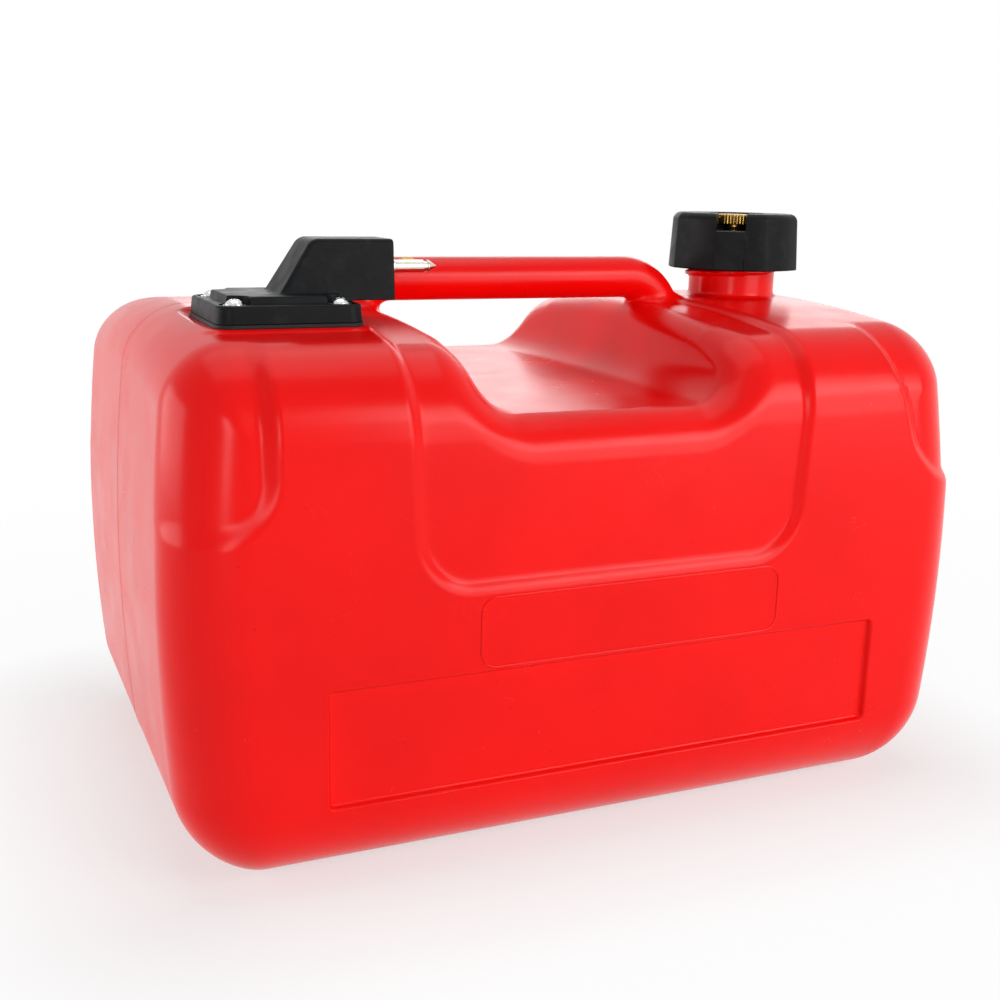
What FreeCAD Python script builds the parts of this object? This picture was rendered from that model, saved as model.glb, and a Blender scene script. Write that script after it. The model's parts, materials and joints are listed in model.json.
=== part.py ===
"""Portable outboard fuel tank of the 12 litre class, as an assembly of separate solids.

Millimetres, +Z up. The origin is the middle of the footprint on the ground. X runs along the
length, from the pickup end (-X) to the filler end (+X), and Y from the front face to the back.
Each sub-part is written to parts/NODE.step.
"""
import FreeCAD, Part
import os
from functools import cache
from math import cos, pi, radians, sin, sqrt, tan

VEC = FreeCAD.Vector
UP = VEC(0, 0, 1)

# ---------------------------------------------------------------- clearances and small values
RUNNING_FIT = 0.05         # radial play of a turning or screwed fit
LOOSE_FIT = 0.3            # play between pieces that only pass each other
MERGE = 0.4                # how deep a solid is sunk into the one it is fused with
REACH = 40.0               # how far a cutting tool runs past what it cuts
SMALLEST_ARC = 1.0         # radius that an arc keeps when it is inset away

# ---------------------------------------------------------------- tank body
TANK_LENGTH = 350.0
TANK_WIDTH = 238.0
TANK_HEIGHT = 209.0        # shoulders, on the middle plane
WALL = 3.0
CROWN_RADIUS = 700.0       # the top sinks towards front and back on this radius
END_BULGE = 9.5            # how far each end face swells over its height
BOTTOM_CORNER = 31.0       # bottom corners of the front view
TOP_CORNER = 27.0          # top corners of the front view
RIM_RADIUS = 29.0          # rounding all round the front and back faces
RIM_STEPS = 6              # sections that make up one rounding
CROWN_STEPS = 3            # sections from the middle to where the rounding starts
LEAD_INS = (10.0, 3.0)     # extra sections this far before the rounding keep the sides straight
BASE_CUT = 0.5             # the underside is drawn this much lower and cut off flat

# saddle: the sunk middle panel with the hand hollow under the handle
SADDLE_STEP = 2.5          # how far the panel lies below the faces round it
SADDLE_TOP_INSET = 91.0    # its upper corners lie this far from the ends
SADDLE_LOW_INSET = 96.0
SADDLE_HEIGHT = 93.6       # from the shoulders down to its lower edge
SADDLE_CORNER = 18.0
HOLLOW_DEPTH = 34.0
HOLLOW_INSET = 124.0       # foot of each wall to the end
HOLLOW_DRAFT = 14.5        # degrees, both walls
HOLLOW_RIM = 17.0          # rounding where the hollow runs out at front and back
HOLLOW_CREST = 9.0         # rounding from shoulder to wall
HOLLOW_CORNER = 13.0       # rounding from wall to floor
CORNER_SHARE = 0.9         # most of a short wall that its two roundings may take

# corner reliefs: flat sunk fields at the upper four corners
RELIEF_STEP = 2.2
RELIEF_SWELL = 0.9         # the sunk surface rises this much, so it runs out on top and ends
RELIEF_INSET = 41.0        # inner edge to the end, at its lower corner
RELIEF_LEAN = 5.0          # degrees, the inner edge leans towards the middle at the top
RELIEF_HEIGHT = 69.5       # lower edge below the shoulders
RELIEF_CORNER = 20.0

# name panel and label frame on the front and back faces, left bare
PANEL_LENGTH = 241.0
PANEL_MIDDLE_X = 3.3
PANEL_LOW_Z = 34.4
PANEL_HEIGHT = 45.5
PANEL_CORNER = 2.0
PANEL_STEP = 2.5
LABEL_LENGTH = 133.4
LABEL_MIDDLE_X = 7.8
LABEL_LOW_Z = 81.1
LABEL_HEIGHT = 28.9
LABEL_CORNER = 7.0
LABEL_BEAD = 1.2           # width of the raised line
LABEL_RISE = 0.5

# ---------------------------------------------------------------- handle
GRIP_RADIUS = 9.2
GRIP_RISE = 9.1            # grip's axis above the shoulders
GRIP_FRONT_INSET = 115.0   # the straight grip ends this far from the filler end
GRIP_FRONT_BEND = 22.0
GRIP_FRONT_TURN = 62.0     # degrees
GRIP_BACK_INSET = 121.0    # and this far from the pickup end
GRIP_BACK_BEND = 17.0
GRIP_BACK_TURN = 78.0
GRIP_ROOT = 12.0           # length of each leg below its bend

# ---------------------------------------------------------------- filler neck
NECK_INSET = 54.5          # neck's axis to the end
NECK_RADIUS = 20.3
NECK_WALL = 3.0
NECK_RISE = 26.0           # rim above the shoulders
NECK_FOOT_RISE = 2.5       # cone that spreads the foot on the shoulder
NECK_ROOT = 12.0           # how far the neck's tube reaches below the crown
THREAD_PITCH = 6.0
THREAD_DEPTH = 2.0
THREAD_BASE = 3.0          # width at the root
THREAD_TIP = 1.5           # width at the crest
THREAD_RISE = 8.0          # start of the thread above the shoulders
THREAD_TURNS = 2.25

# ---------------------------------------------------------------- filler cap
CAP_RADIUS = 31.3          # over the ridges, at the open edge
CAP_DRAFT = 1.3            # radius lost up to the crown edge
CAP_SKIRT_RISE = 13.1      # open edge above the shoulders
CAP_RISE = 39.0            # crown above the shoulders
CAP_EDGE = 3.6             # rounding of the crown edge
CAP_RIDGES = 8
CAP_RIDGE_TURN = 32.5      # degrees, from the finger notch to the next ridge
CAP_FACET_DROP = 0.9       # how far a facet lies inside the ridge circle
CAP_EDGE_STEPS = 5         # sections of that rounding
CAP_THREAD_DEPTH = 1.6
CAP_THREAD_TURNS = 1.0
CAP_THREAD_SKIP = 0.75     # turns of the neck's thread below the cap's
CAP_WEB = 3.0              # thickness of the web over the neck
DISH_RADIUS = 14.0         # well round the vent screw
NOTCH_WIDTH = 13.5         # finger notch through the rim to the vent screw
NOTCH_ANGLE = -126.5       # degrees, towards the front left
GASKET_THICK = 2.0
GASKET_OVERHANG = 1.5      # gasket reaches this far inside the neck's bore
LINER_WALL = 1.5           # ring left between gasket and cap thread

# ---------------------------------------------------------------- vent screw in the cap
VENT_BUSH_RADIUS = 5.0
VENT_SCREW_RADIUS = 3.0
VENT_KNOB_RADIUS = 8.5
VENT_KNOB_GAP = 1.2        # collar that shows between the seal and the knurled head
VENT_KNOB_HEIGHT = 4.8
VENT_KNURLS = 30
VENT_KNURL_DEPTH = 0.35
VENT_SLOT_WIDTH = 1.6
VENT_SLOT_DEPTH = 1.5
VENT_BORE = 1.1            # air passage through screw and seat
VENT_SEAT_DROP = 4.0       # bush reaches this far below the web
VENT_SEAT_RING = 1.4       # thickness of the soft seal washer
VENT_TRAVEL = 2.0          # lift of the screw from shut to open
VENT_TIP = 1.2             # screw that is left below its stop ring
STOP_RING_THICK = 0.6
STOP_RING_RADIUS = 4.6
STOP_GROOVE_DEPTH = 0.6

# ---------------------------------------------------------------- pickup cover on the left shoulder
PICKUP_INSET = 58.5        # cover's middle to the end
PICKUP_FRONT_INSET = 73.0  # and to the front
SEAT_DROP = 3.0            # flat seat moulded in the crowned shoulder, below its crest
SEAT_MARGIN = 1.5          # seat reaches this far past the gasket
SEAT_DEPTH = 6.0
FLANGE_SIZE = 56.0
FLANGE_CORNER = 6.0
FLANGE_RISE = 8.2          # top of the flange above the seat
FLANGE_DRAFT = 0.6         # size lost on each side up to the top
GASKET_LIP = 1.3           # flange gasket shows this far past the flange
FLANGE_GASKET = 1.4
PAD_SIZE = 44.0
PAD_RISE = 2.8
PAD_CORNER = 1.5
SCREW_SPREAD = 20.0        # screws lie this far from the middle, both ways
POCKET_RADIUS = 5.6        # screw pockets cut into the pad's corners
POCKET_DEPTH = 1.0
HOOD_FOOT_SHIFT = -1.0     # along X from the cover's middle, like the three below
HOOD_CREST_SHIFT = 12.0
HOOD_END_SHIFT = 44.5
HOOD_RISE = 31.5           # above the seat
HOOD_FOOT_HALF = 13.0
HOOD_TOP_HALF = 11.0
HOOD_EDGE = 1.6
HOOD_WALL = 2.0
HOOD_HANG = 2.6            # sill of the part that stands out over the shoulder
HOOD_SILL_SHIFT = 20.5     # where that sill starts, under the pad's edge
OPENING_RADIUS = 20.0      # hole in the shoulder below the cover

# screws, washers and moulded-in threaded inserts
SCREW_RADIUS = 2.0
SCREW_LENGTH = 15.0        # below the head
SCREW_HEAD_RADIUS = 3.6
SCREW_HEAD_RISE = 2.3
CROSS_WIDTH = 0.9
CROSS_LENGTH = 3.6
CROSS_DEPTH = 1.3
WASHER_RADIUS = 4.3
WASHER_THICK = 0.8
INSERT_RADIUS = 3.2
INSERT_LENGTH = 8.0
INSERT_GROOVE = 0.4
INSERT_GROOVE_SHARES = (0.35, 0.7)  # places of the keying grooves along an insert
BOSS_RADIUS = 5.6
BOSS_DEPTH = 11.0

# ---------------------------------------------------------------- fuel fitting under the hood
PIPE_SHIFT = 10.5          # pickup pipe and manifold spigot, along X from the cover's middle
MANIFOLD_HALF = 8.4
MANIFOLD_LOW_RISE = 12.4   # above the seat
MANIFOLD_TOP_RISE = 28.4
MANIFOLD_REACH = 5.8       # manifold reaches this far behind the spigot's axis at its foot
MANIFOLD_PLATE = 1.2       # turned collar that presses the seal
SPIGOT_RADIUS = 5.0
SPIGOT_LENGTH = 20.0
NUT_FLATS = 14.0
NUT_HEIGHT = 5.5
SEAL_CORD = 1.2            # O-ring under the manifold
FUEL_BORE = 2.2
STEM_SHIFT = -4.0          # along Y from the cover's middle
STEM_RISE = 20.7           # above the seat
STEM_RADIUS = 2.55
STEM_SHANK = 11.0          # length screwed into the manifold
STEM_COLLAR_RADIUS = 3.3
STEM_COLLAR = 2.0
STEM_GROOVE_REACH = 15.2   # past the hood's end
STEM_GROOVE_WIDTH = 1.6
STEM_GROOVE_DEPTH = 0.65
STEM_CONE_REACH = 16.4
STEM_REACH = 20.3
STEM_BORE = 1.0
LATCH_SHIFT = 5.6          # along Y from the cover's middle
LATCH_RADIUS = 3.0
LATCH_SHANK_RADIUS = 1.9
LATCH_REACH = 14.0         # past the hood's end
LATCH_NOTCH_REACH = 7.0
LATCH_NOTCH_WIDTH = 3.2
LATCH_NOTCH_DEPTH = 1.8
LATCH_CHAMFER = 0.9

# ---------------------------------------------------------------- pickup pipe and strainer
TAIL_HEX_FLATS = 11.0
TAIL_HEX_HEIGHT = 4.0
TAIL_LENGTH = 17.0
TAIL_BARBS = 3
TAIL_SINK = 8.0            # length of the tail's screw in the spigot
PIPE_RADIUS = 5.0
PIPE_BORE = 3.5
BARB_GROOVE = 0.7
CLIP_WIDTH = 6.0
CLIP_THICK = 0.8
CLIP_EAR = 5.0
CLIP_GAP = 2.0
STRAINER_RADIUS = 10.0
STRAINER_HEIGHT = 24.0
STRAINER_WALL = 1.4
STRAINER_FOOT_GAP = 1.5    # the strainer stands this far above the tank's floor
STRAINER_RIBS = 6
STRAINER_RIB_WIDTH = 2.4
STRAINER_CAP = 3.0         # thickness of its top and bottom plates
MESH_THICK = 0.5

# ---------------------------------------------------------------- worked out from the above
HALF_LENGTH = TANK_LENGTH / 2
HALF_WIDTH = TANK_WIDTH / 2
MID_Z = TANK_HEIGHT / 2
END_RADIUS = TANK_HEIGHT ** 2 / (8 * END_BULGE) + END_BULGE / 2
SADDLE_TOP_HALF = HALF_LENGTH - SADDLE_TOP_INSET
SADDLE_LOW_HALF = HALF_LENGTH - SADDLE_LOW_INSET
SADDLE_LOW_Z = TANK_HEIGHT - SADDLE_HEIGHT
HOLLOW_FLOOR_Z = TANK_HEIGHT - HOLLOW_DEPTH
HOLLOW_FLOOR_HALF = HALF_LENGTH - HOLLOW_INSET
RELIEF_INNER_X = HALF_LENGTH - RELIEF_INSET
RELIEF_LOW_Z = TANK_HEIGHT - RELIEF_HEIGHT
GRIP_AXIS_Z = TANK_HEIGHT + GRIP_RISE
GRIP_FRONT_X = HALF_LENGTH - GRIP_FRONT_INSET
GRIP_BACK_X = HALF_LENGTH - GRIP_BACK_INSET
NECK_X = HALF_LENGTH - NECK_INSET
NECK_TOP_Z = TANK_HEIGHT + NECK_RISE
THREAD_LOW_Z = TANK_HEIGHT + THREAD_RISE
CAP_LOW_Z = TANK_HEIGHT + CAP_SKIRT_RISE
CAP_TOP_Z = TANK_HEIGHT + CAP_RISE
PICKUP_X = PICKUP_INSET - HALF_LENGTH
PICKUP_Y = PICKUP_FRONT_INSET - HALF_WIDTH
SEAT_Z = TANK_HEIGHT - SEAT_DROP
FLANGE_TOP_Z = SEAT_Z + FLANGE_RISE
HOOD_FOOT_X = PICKUP_X + HOOD_FOOT_SHIFT
HOOD_CREST_X = PICKUP_X + HOOD_CREST_SHIFT
HOOD_END_X = PICKUP_X + HOOD_END_SHIFT
HOOD_SILL_X = PICKUP_X + HOOD_SILL_SHIFT
HOOD_TOP_Z = SEAT_Z + HOOD_RISE
PIPE_X = PICKUP_X + PIPE_SHIFT
MANIFOLD_LOW_Z = SEAT_Z + MANIFOLD_LOW_RISE
MANIFOLD_TOP_Z = SEAT_Z + MANIFOLD_TOP_RISE
STEM_Y = PICKUP_Y + STEM_SHIFT
STEM_Z = SEAT_Z + STEM_RISE
STEM_GROOVE_X = HOOD_END_X + STEM_GROOVE_REACH
STEM_CONE_X = HOOD_END_X + STEM_CONE_REACH
STEM_TIP_X = HOOD_END_X + STEM_REACH
LATCH_Y = PICKUP_Y + LATCH_SHIFT
LATCH_END_X = HOOD_END_X + LATCH_REACH
LATCH_NOTCH_X = HOOD_END_X + LATCH_NOTCH_REACH
FLANGE_LOW_Z = SEAT_Z + FLANGE_GASKET
PAD_TOP_Z = FLANGE_TOP_Z + PAD_RISE
POCKET_Z = FLANGE_TOP_Z - POCKET_DEPTH
SCREW_SEAT_Z = POCKET_Z + WASHER_THICK
INSERT_TOP_Z = SEAT_Z
NECK_BORE = NECK_RADIUS - NECK_WALL
CAP_CEILING_Z = NECK_TOP_Z + GASKET_THICK
DISH_FLOOR_Z = CAP_CEILING_Z + CAP_WEB
CAP_BORE = NECK_RADIUS + THREAD_DEPTH + LOOSE_FIT
VENT_BUSH_LOW_Z = CAP_CEILING_Z - VENT_SEAT_DROP
VENT_SEAT_Z = DISH_FLOOR_Z + VENT_SEAT_RING
VENT_KNOB_LOW_Z = VENT_SEAT_Z + VENT_KNOB_GAP
STOP_RING_TOP_Z = VENT_BUSH_LOW_Z - VENT_TRAVEL - LOOSE_FIT
STOP_RING_LOW_Z = STOP_RING_TOP_Z - STOP_RING_THICK
VENT_TIP_Z = STOP_RING_LOW_Z - VENT_TIP
SPIGOT_LOW_Z = PAD_TOP_Z - SPIGOT_LENGTH
TAIL_TOP_Z = SPIGOT_LOW_Z
PIPE_TOP_Z = TAIL_TOP_Z - TAIL_HEX_HEIGHT
STRAINER_LOW_Z = WALL + STRAINER_FOOT_GAP
STRAINER_TOP_Z = STRAINER_LOW_Z + STRAINER_HEIGHT


# ---------------------------------------------------------------- small builders
def cylinder(radius, low_z, high_z, x=0.0, y=0.0):
    """Upright cylinder between two heights."""
    return Part.makeCylinder(radius, high_z - low_z, VEC(x, y, low_z))


def cone(low_radius, high_radius, low_z, high_z, x=0.0, y=0.0):
    """Upright cone frustum between two heights."""
    return Part.makeCone(low_radius, high_radius, high_z - low_z, VEC(x, y, low_z))


def block(low, high):
    """Box between two opposite corners."""
    return Part.makeBox(high[0] - low[0], high[1] - low[1], high[2] - low[2], VEC(*low))


def tube(outer, inner, low_z, high_z, x=0.0, y=0.0):
    """Upright ring."""
    return cylinder(outer, low_z, high_z, x, y).cut(cylinder(inner, low_z, high_z, x, y))


def rod(radius, start_x, end_x, y, z):
    """Cylinder along X."""
    return Part.makeCylinder(radius, end_x - start_x, VEC(start_x, y, z), VEC(1, 0, 0))


def rounded_plate(size_x, size_y, corner, low_z, high_z, x=0.0, y=0.0, draft=0.0):
    """Upright plate with rounded corners, smaller by the draft on each side at its top."""
    wires = []
    for height, inset in ((low_z, 0.0), (high_z, draft)):
        wires.append(rounded_rectangle(size_x - 2 * inset, size_y - 2 * inset, corner, x, y, height))
    return Part.makeLoft(wires, True, True)


def rounded_rectangle(size_x, size_y, corner, x, y, z):
    """Closed wire in a level plane."""
    half_x = size_x / 2
    half_y = size_y / 2
    edges = []
    points = []
    turn = corner * (1 - cos(pi / 4))
    for sign_x, sign_y in ((1, 1), (-1, 1), (-1, -1), (1, -1)):
        along_x = VEC(x + sign_x * (half_x - corner), y + sign_y * half_y, z)
        along_y = VEC(x + sign_x * half_x, y + sign_y * (half_y - corner), z)
        middle = VEC(x + sign_x * (half_x - turn), y + sign_y * (half_y - turn), z)
        if sign_x == sign_y:
            points.append((along_y, middle, along_x))
        else:
            points.append((along_x, middle, along_y))
    for index, (start, middle, end) in enumerate(points):
        edges.append(Part.Arc(start, middle, end).toShape())
        edges.append(Part.makeLine(end, points[(index + 1) % len(points)][0]))
    return Part.Wire(edges)


def hexagon(flats, low_z, high_z, x, y):
    """Upright hexagonal bar with two flats facing along X."""
    corner = flats / 2 / cos(pi / 6)
    points = []
    for index in range(6):
        angle = pi / 6 + index * pi / 3
        points.append(VEC(x + corner * cos(angle), y + corner * sin(angle), low_z))
    return Part.Face(Part.makePolygon(points + points[:1])).extrude(UP * (high_z - low_z))


def prism_xz(points, corners, half_depth):
    """Prism along Y of a polygon in the front view, with a radius at each point."""
    edges = []
    joints = []
    count = len(points)
    for index, corner in enumerate(corners):
        here = VEC(points[index][0], -half_depth, points[index][1])
        before = VEC(points[index - 1][0], -half_depth, points[index - 1][1])
        after = VEC(points[(index + 1) % count][0], -half_depth, points[(index + 1) % count][1])
        joints.append(corner_arc(before, here, after, corner))
    for index, (start, middle, end) in enumerate(joints):
        if corners[index] > 0:
            edges.append(Part.Arc(start, middle, end).toShape())
        edges.append(Part.makeLine(end, joints[(index + 1) % count][0]))
    return Part.Face(Part.Wire(edges)).extrude(VEC(0, 2 * half_depth, 0))


def corner_arc(before, corner, after, radius):
    """Start, middle and end of the arc that rounds a corner of two straight lines."""
    back = (before - corner).normalize()
    ahead = (after - corner).normalize()
    half_angle = back.getAngle(ahead) / 2
    length = radius / tan(half_angle)
    start = corner + back * length
    end = corner + ahead * length
    inward = (back + ahead).normalize()
    middle = corner + inward * (radius / sin(half_angle) - radius)
    return start, middle, end


def helix_ridge(radius, tip_radius, base, tip, pitch, turns, low_z, x, y):
    """Thread ridge of trapezoid section, from its root radius to its tip radius."""
    path = Part.makeHelix(pitch, pitch * turns, radius)
    path.translate(VEC(x, y, low_z))
    corners = ((radius, -base / 2), (tip_radius, -tip / 2), (tip_radius, tip / 2), (radius, base / 2))
    points = [VEC(x + reach, y, low_z + height) for reach, height in corners]
    profile = Part.makePolygon(points + points[:1])
    return Part.Wire(path.Edges).makePipeShell([profile], True, True)


# ---------------------------------------------------------------- tank body
def edge_drop(distance, half, radius):
    """How far a rounded edge has dropped at this distance from the middle plane."""
    past = min(max(abs(distance) - (half - radius), 0.0), radius)
    return radius - sqrt(radius ** 2 - past ** 2)


def end_corner(side, edge_z, inwards, inset, radius):
    """Arc from a level edge to the swollen end: points on the edge, in the middle, on the end."""
    end_centre = VEC(side * (HALF_LENGTH - END_RADIUS), 0, MID_Z)
    centre_z = edge_z + inwards * radius
    reach = sqrt((END_RADIUS - inset - radius) ** 2 - (centre_z - MID_Z) ** 2)
    centre = VEC(end_centre.x + side * reach, 0, centre_z)
    outward = (centre - end_centre).normalize()
    level = VEC(0, 0, -inwards)
    return (centre + level * radius,
            centre + (level + outward).normalize() * radius,
            centre + outward * radius)


def hollow_corners(top_z, floor_z, shift):
    """Arcs of the hand hollow's right half: crest at the shoulder, then corner at the floor."""
    slope = tan(radians(HOLLOW_DRAFT))
    wall_x = HOLLOW_FLOOR_HALF + shift / cos(radians(HOLLOW_DRAFT))
    crest = VEC(wall_x + (top_z - HOLLOW_FLOOR_Z) * slope, 0, top_z)
    foot = VEC(wall_x + (floor_z - HOLLOW_FLOOR_Z) * slope, 0, floor_z)
    needed = (HOLLOW_CREST + HOLLOW_CORNER) * tan(radians(90 - HOLLOW_DRAFT) / 2)
    share = min(1.0, CORNER_SHARE * (crest - foot).Length / needed)
    shoulder = crest + VEC(REACH, 0, 0)
    floor = foot - VEC(REACH, 0, 0)
    return (corner_arc(shoulder, crest, foot, HOLLOW_CREST * share),
            corner_arc(crest, foot, floor, HOLLOW_CORNER * share))


def body_section(y, inset, narrowing, hollow, swell):
    """Closed section of the body across Y, inset by a wall, with or without the hand hollow."""
    half = HALF_WIDTH - narrowing - inset
    drop = inset - swell + edge_drop(y, half, RIM_RADIUS - inset)
    top_z = TANK_HEIGHT - y ** 2 / (2 * CROWN_RADIUS) - drop
    if hollow:
        top_z -= SADDLE_STEP
    low_radius = max(BOTTOM_CORNER - drop, SMALLEST_ARC)
    high_radius = max(TOP_CORNER - drop, SMALLEST_ARC)
    low = end_corner(1, drop - BASE_CUT, 1, drop, low_radius)
    high = end_corner(1, top_z, -1, drop, high_radius)
    right = [low, (low[2], VEC(HALF_LENGTH - drop, 0, MID_Z), high[2]), high[::-1]]
    if hollow:
        shift = inset + edge_drop(y, half, HOLLOW_RIM - inset)
        right.extend(hollow_corners(top_z, HOLLOW_FLOOR_Z - shift, shift))
    points = right + [mirrored_arc(arc) for arc in reversed(right)]
    edges = []
    for index, (start, middle, end) in enumerate(points):
        edges.append(Part.Arc(start, middle, end).toShape())
        following = points[(index + 1) % len(points)][0]
        if (following - end).Length > MERGE:
            edges.append(Part.makeLine(end, following))
    wire = Part.Wire(edges)
    wire.translate(VEC(0, y, 0))
    return wire


def mirrored_arc(arc):
    """The same arc on the other side of the middle, walked the other way."""
    return tuple(VEC(-point.x, point.y, point.z) for point in reversed(arc))


def section_places(half, radius):
    """Places of the sections along Y: wide ones under the crown, close ones in the rounding."""
    flat = half - radius
    places = [flat * step / CROWN_STEPS for step in range(CROWN_STEPS)]
    places.extend(flat - lead for lead in LEAD_INS)
    for step in range(RIM_STEPS + 1):
        places.append(flat + radius * sin(step * pi / 2 / RIM_STEPS))
    return [-place for place in reversed(places[1:])] + places


def body_solid(inset, narrowing=0.0, hollow=False, swell=0.0):
    """Body lofted through its sections, inset by a wall and narrowed on front and back."""
    half = HALF_WIDTH - narrowing - inset
    wires = []
    for place in section_places(half, RIM_RADIUS - inset):
        wires.append(body_section(place, inset, narrowing, hollow, swell))
    return Part.makeLoft(wires, True, False)


def saddle_prism(spread):
    """Field of the sunk saddle panel in the front view, widened by a wall."""
    lean = (SADDLE_TOP_HALF - SADDLE_LOW_HALF) / (TANK_HEIGHT - SADDLE_LOW_Z)
    high_z = TANK_HEIGHT + REACH
    low_half = SADDLE_LOW_HALF + spread
    high_half = low_half + lean * (high_z - SADDLE_LOW_Z)
    low_z = SADDLE_LOW_Z - spread
    corner = SADDLE_CORNER + spread
    points = ((-low_half, low_z), (low_half, low_z), (high_half, high_z), (-high_half, high_z))
    return prism_xz(points, (corner, corner, 0, 0), TANK_WIDTH)


def relief_prism(side, spread):
    """Field of a corner relief in the front view, widened by a wall."""
    low_z = RELIEF_LOW_Z - spread
    high_z = TANK_HEIGHT + REACH
    lean = tan(radians(RELIEF_LEAN))
    inner_x = RELIEF_INNER_X - spread
    outer_x = HALF_LENGTH + REACH
    points = ((side * inner_x, low_z), (side * outer_x, low_z),
              (side * outer_x, high_z), (side * (inner_x - lean * (high_z - low_z)), high_z))
    return prism_xz(points, (RELIEF_CORNER, 0, 0, 0), TANK_WIDTH)


def tank_envelope(inset):
    """Outer shape of the blow-moulded body, or its cavity when it is inset by the wall."""
    ground = block((-TANK_LENGTH, -TANK_WIDTH, inset - REACH), (TANK_LENGTH, TANK_WIDTH, inset))
    body = body_solid(inset).cut(ground)
    tools = [saddle_prism(inset).cut(body_solid(inset, SADDLE_STEP, True))]
    narrow = body_solid(inset, RELIEF_STEP, False, RELIEF_SWELL)
    for side in (-1, 1):
        tools.append(relief_prism(side, inset).cut(narrow))
    return body.cut(tools)


def face_panels(envelope):
    """Cut the bare name panel and raise the label frame on the front and back faces."""
    for face_y in (-HALF_WIDTH, HALF_WIDTH):
        inward = -1 if face_y > 0 else 1
        panel = rounded_panel(PANEL_LENGTH, PANEL_HEIGHT, PANEL_CORNER, PANEL_MIDDLE_X,
                              PANEL_LOW_Z, face_y, inward * PANEL_STEP)
        frame = rounded_panel(LABEL_LENGTH, LABEL_HEIGHT, LABEL_CORNER, LABEL_MIDDLE_X,
                              LABEL_LOW_Z, face_y + inward * MERGE, -inward * (MERGE + LABEL_RISE))
        field = rounded_panel(LABEL_LENGTH - 2 * LABEL_BEAD, LABEL_HEIGHT - 2 * LABEL_BEAD,
                              LABEL_CORNER - LABEL_BEAD, LABEL_MIDDLE_X, LABEL_LOW_Z + LABEL_BEAD,
                              face_y + inward * MERGE, -inward * (MERGE + LABEL_RISE))
        envelope = envelope.cut(panel).fuse(frame.cut(field))
    return envelope


def rounded_panel(length, height, corner, middle_x, low_z, face_y, depth):
    """Slab with rounded corners that grows from a front or back plane by a signed depth."""
    plate = rounded_plate(length, height, corner, 0, abs(depth))
    plate.rotate(VEC(0, 0, 0), VEC(1, 0, 0), 90 if depth < 0 else -90)
    plate.translate(VEC(middle_x, face_y, low_z + height / 2))
    return plate


def handle_solid():
    """Round grip with a bend and a leg at each end, sunk into the shoulders."""
    front = bend_points(1, GRIP_FRONT_X, GRIP_FRONT_BEND, GRIP_FRONT_TURN)
    back = bend_points(-1, GRIP_BACK_X, GRIP_BACK_BEND, GRIP_BACK_TURN)
    path = Part.Wire([
        Part.makeLine(back[3], back[2]),
        Part.Arc(back[2], back[1], back[0]).toShape(),
        Part.makeLine(back[0], front[0]),
        Part.Arc(front[0], front[1], front[2]).toShape(),
        Part.makeLine(front[2], front[3]),
    ])
    heading = back[2] - back[3]
    section = Part.Wire(Part.makeCircle(GRIP_RADIUS, back[3], heading))
    return path.makePipeShell([section], True, True)


def bend_points(side, start_x, bend, turn_degrees):
    """Grip axis at one end: bend start, middle and end, then the foot of the leg."""
    centre = VEC(side * start_x, 0, GRIP_AXIS_Z - bend)
    points = []
    for share in (0.0, 0.5, 1.0):
        angle = radians(turn_degrees) * share
        points.append(centre + VEC(side * sin(angle), 0, cos(angle)) * bend)
    turn = radians(turn_degrees)
    points.append(points[-1] + VEC(side * cos(turn), 0, -sin(turn)) * GRIP_ROOT)
    return points


def neck_solid():
    """Threaded neck, still without its bore."""
    low_z = TANK_HEIGHT - NECK_ROOT
    neck = cylinder(NECK_RADIUS, low_z, NECK_TOP_Z, NECK_X)
    foot = cone(NECK_RADIUS + NECK_FOOT_RISE, NECK_RADIUS, TANK_HEIGHT - MERGE,
                TANK_HEIGHT + NECK_FOOT_RISE, NECK_X)
    ridge = helix_ridge(NECK_RADIUS - MERGE, NECK_RADIUS + THREAD_DEPTH, THREAD_BASE, THREAD_TIP,
                        THREAD_PITCH, THREAD_TURNS, THREAD_LOW_Z, NECK_X, 0)
    return neck.fuse([foot, ridge])


def seat_tools():
    """Flat seat for the pickup cover: what fills the crown below it and what clears it above."""
    size = FLANGE_SIZE + 2 * (GASKET_LIP + SEAT_MARGIN)
    corner = FLANGE_CORNER + GASKET_LIP + SEAT_MARGIN
    fill = rounded_plate(size, size, corner, SEAT_Z - SEAT_DEPTH, SEAT_Z, PICKUP_X, PICKUP_Y)
    clear = rounded_plate(size, size, corner, SEAT_Z, SEAT_Z + SEAT_DEPTH, PICKUP_X, PICKUP_Y)
    return fill, clear


def screw_places():
    """Middles of the four cover screws."""
    places = []
    for sign_x in (-1, 1):
        for sign_y in (-1, 1):
            places.append((PICKUP_X + sign_x * SCREW_SPREAD, PICKUP_Y + sign_y * SCREW_SPREAD))
    return places


@cache
def body_blank():
    """The moulding's body as if it were solid, with its face panels and the flat pickup seat."""
    seat_fill, seat_clear = seat_tools()
    return face_panels(tank_envelope(0.0)).fuse(seat_fill).cut(seat_clear)


def carry_handle():
    """Handle of the moulding, from its grip down to the shoulders that it grows out of."""
    return handle_solid().cut(body_blank())


def filler_neck():
    """Threaded neck of the moulding, from the shoulder up to its rim."""
    bore = cylinder(NECK_BORE, TANK_HEIGHT - REACH / 2, NECK_TOP_Z + REACH, NECK_X)
    return neck_solid().cut([body_blank(), bore])


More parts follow.
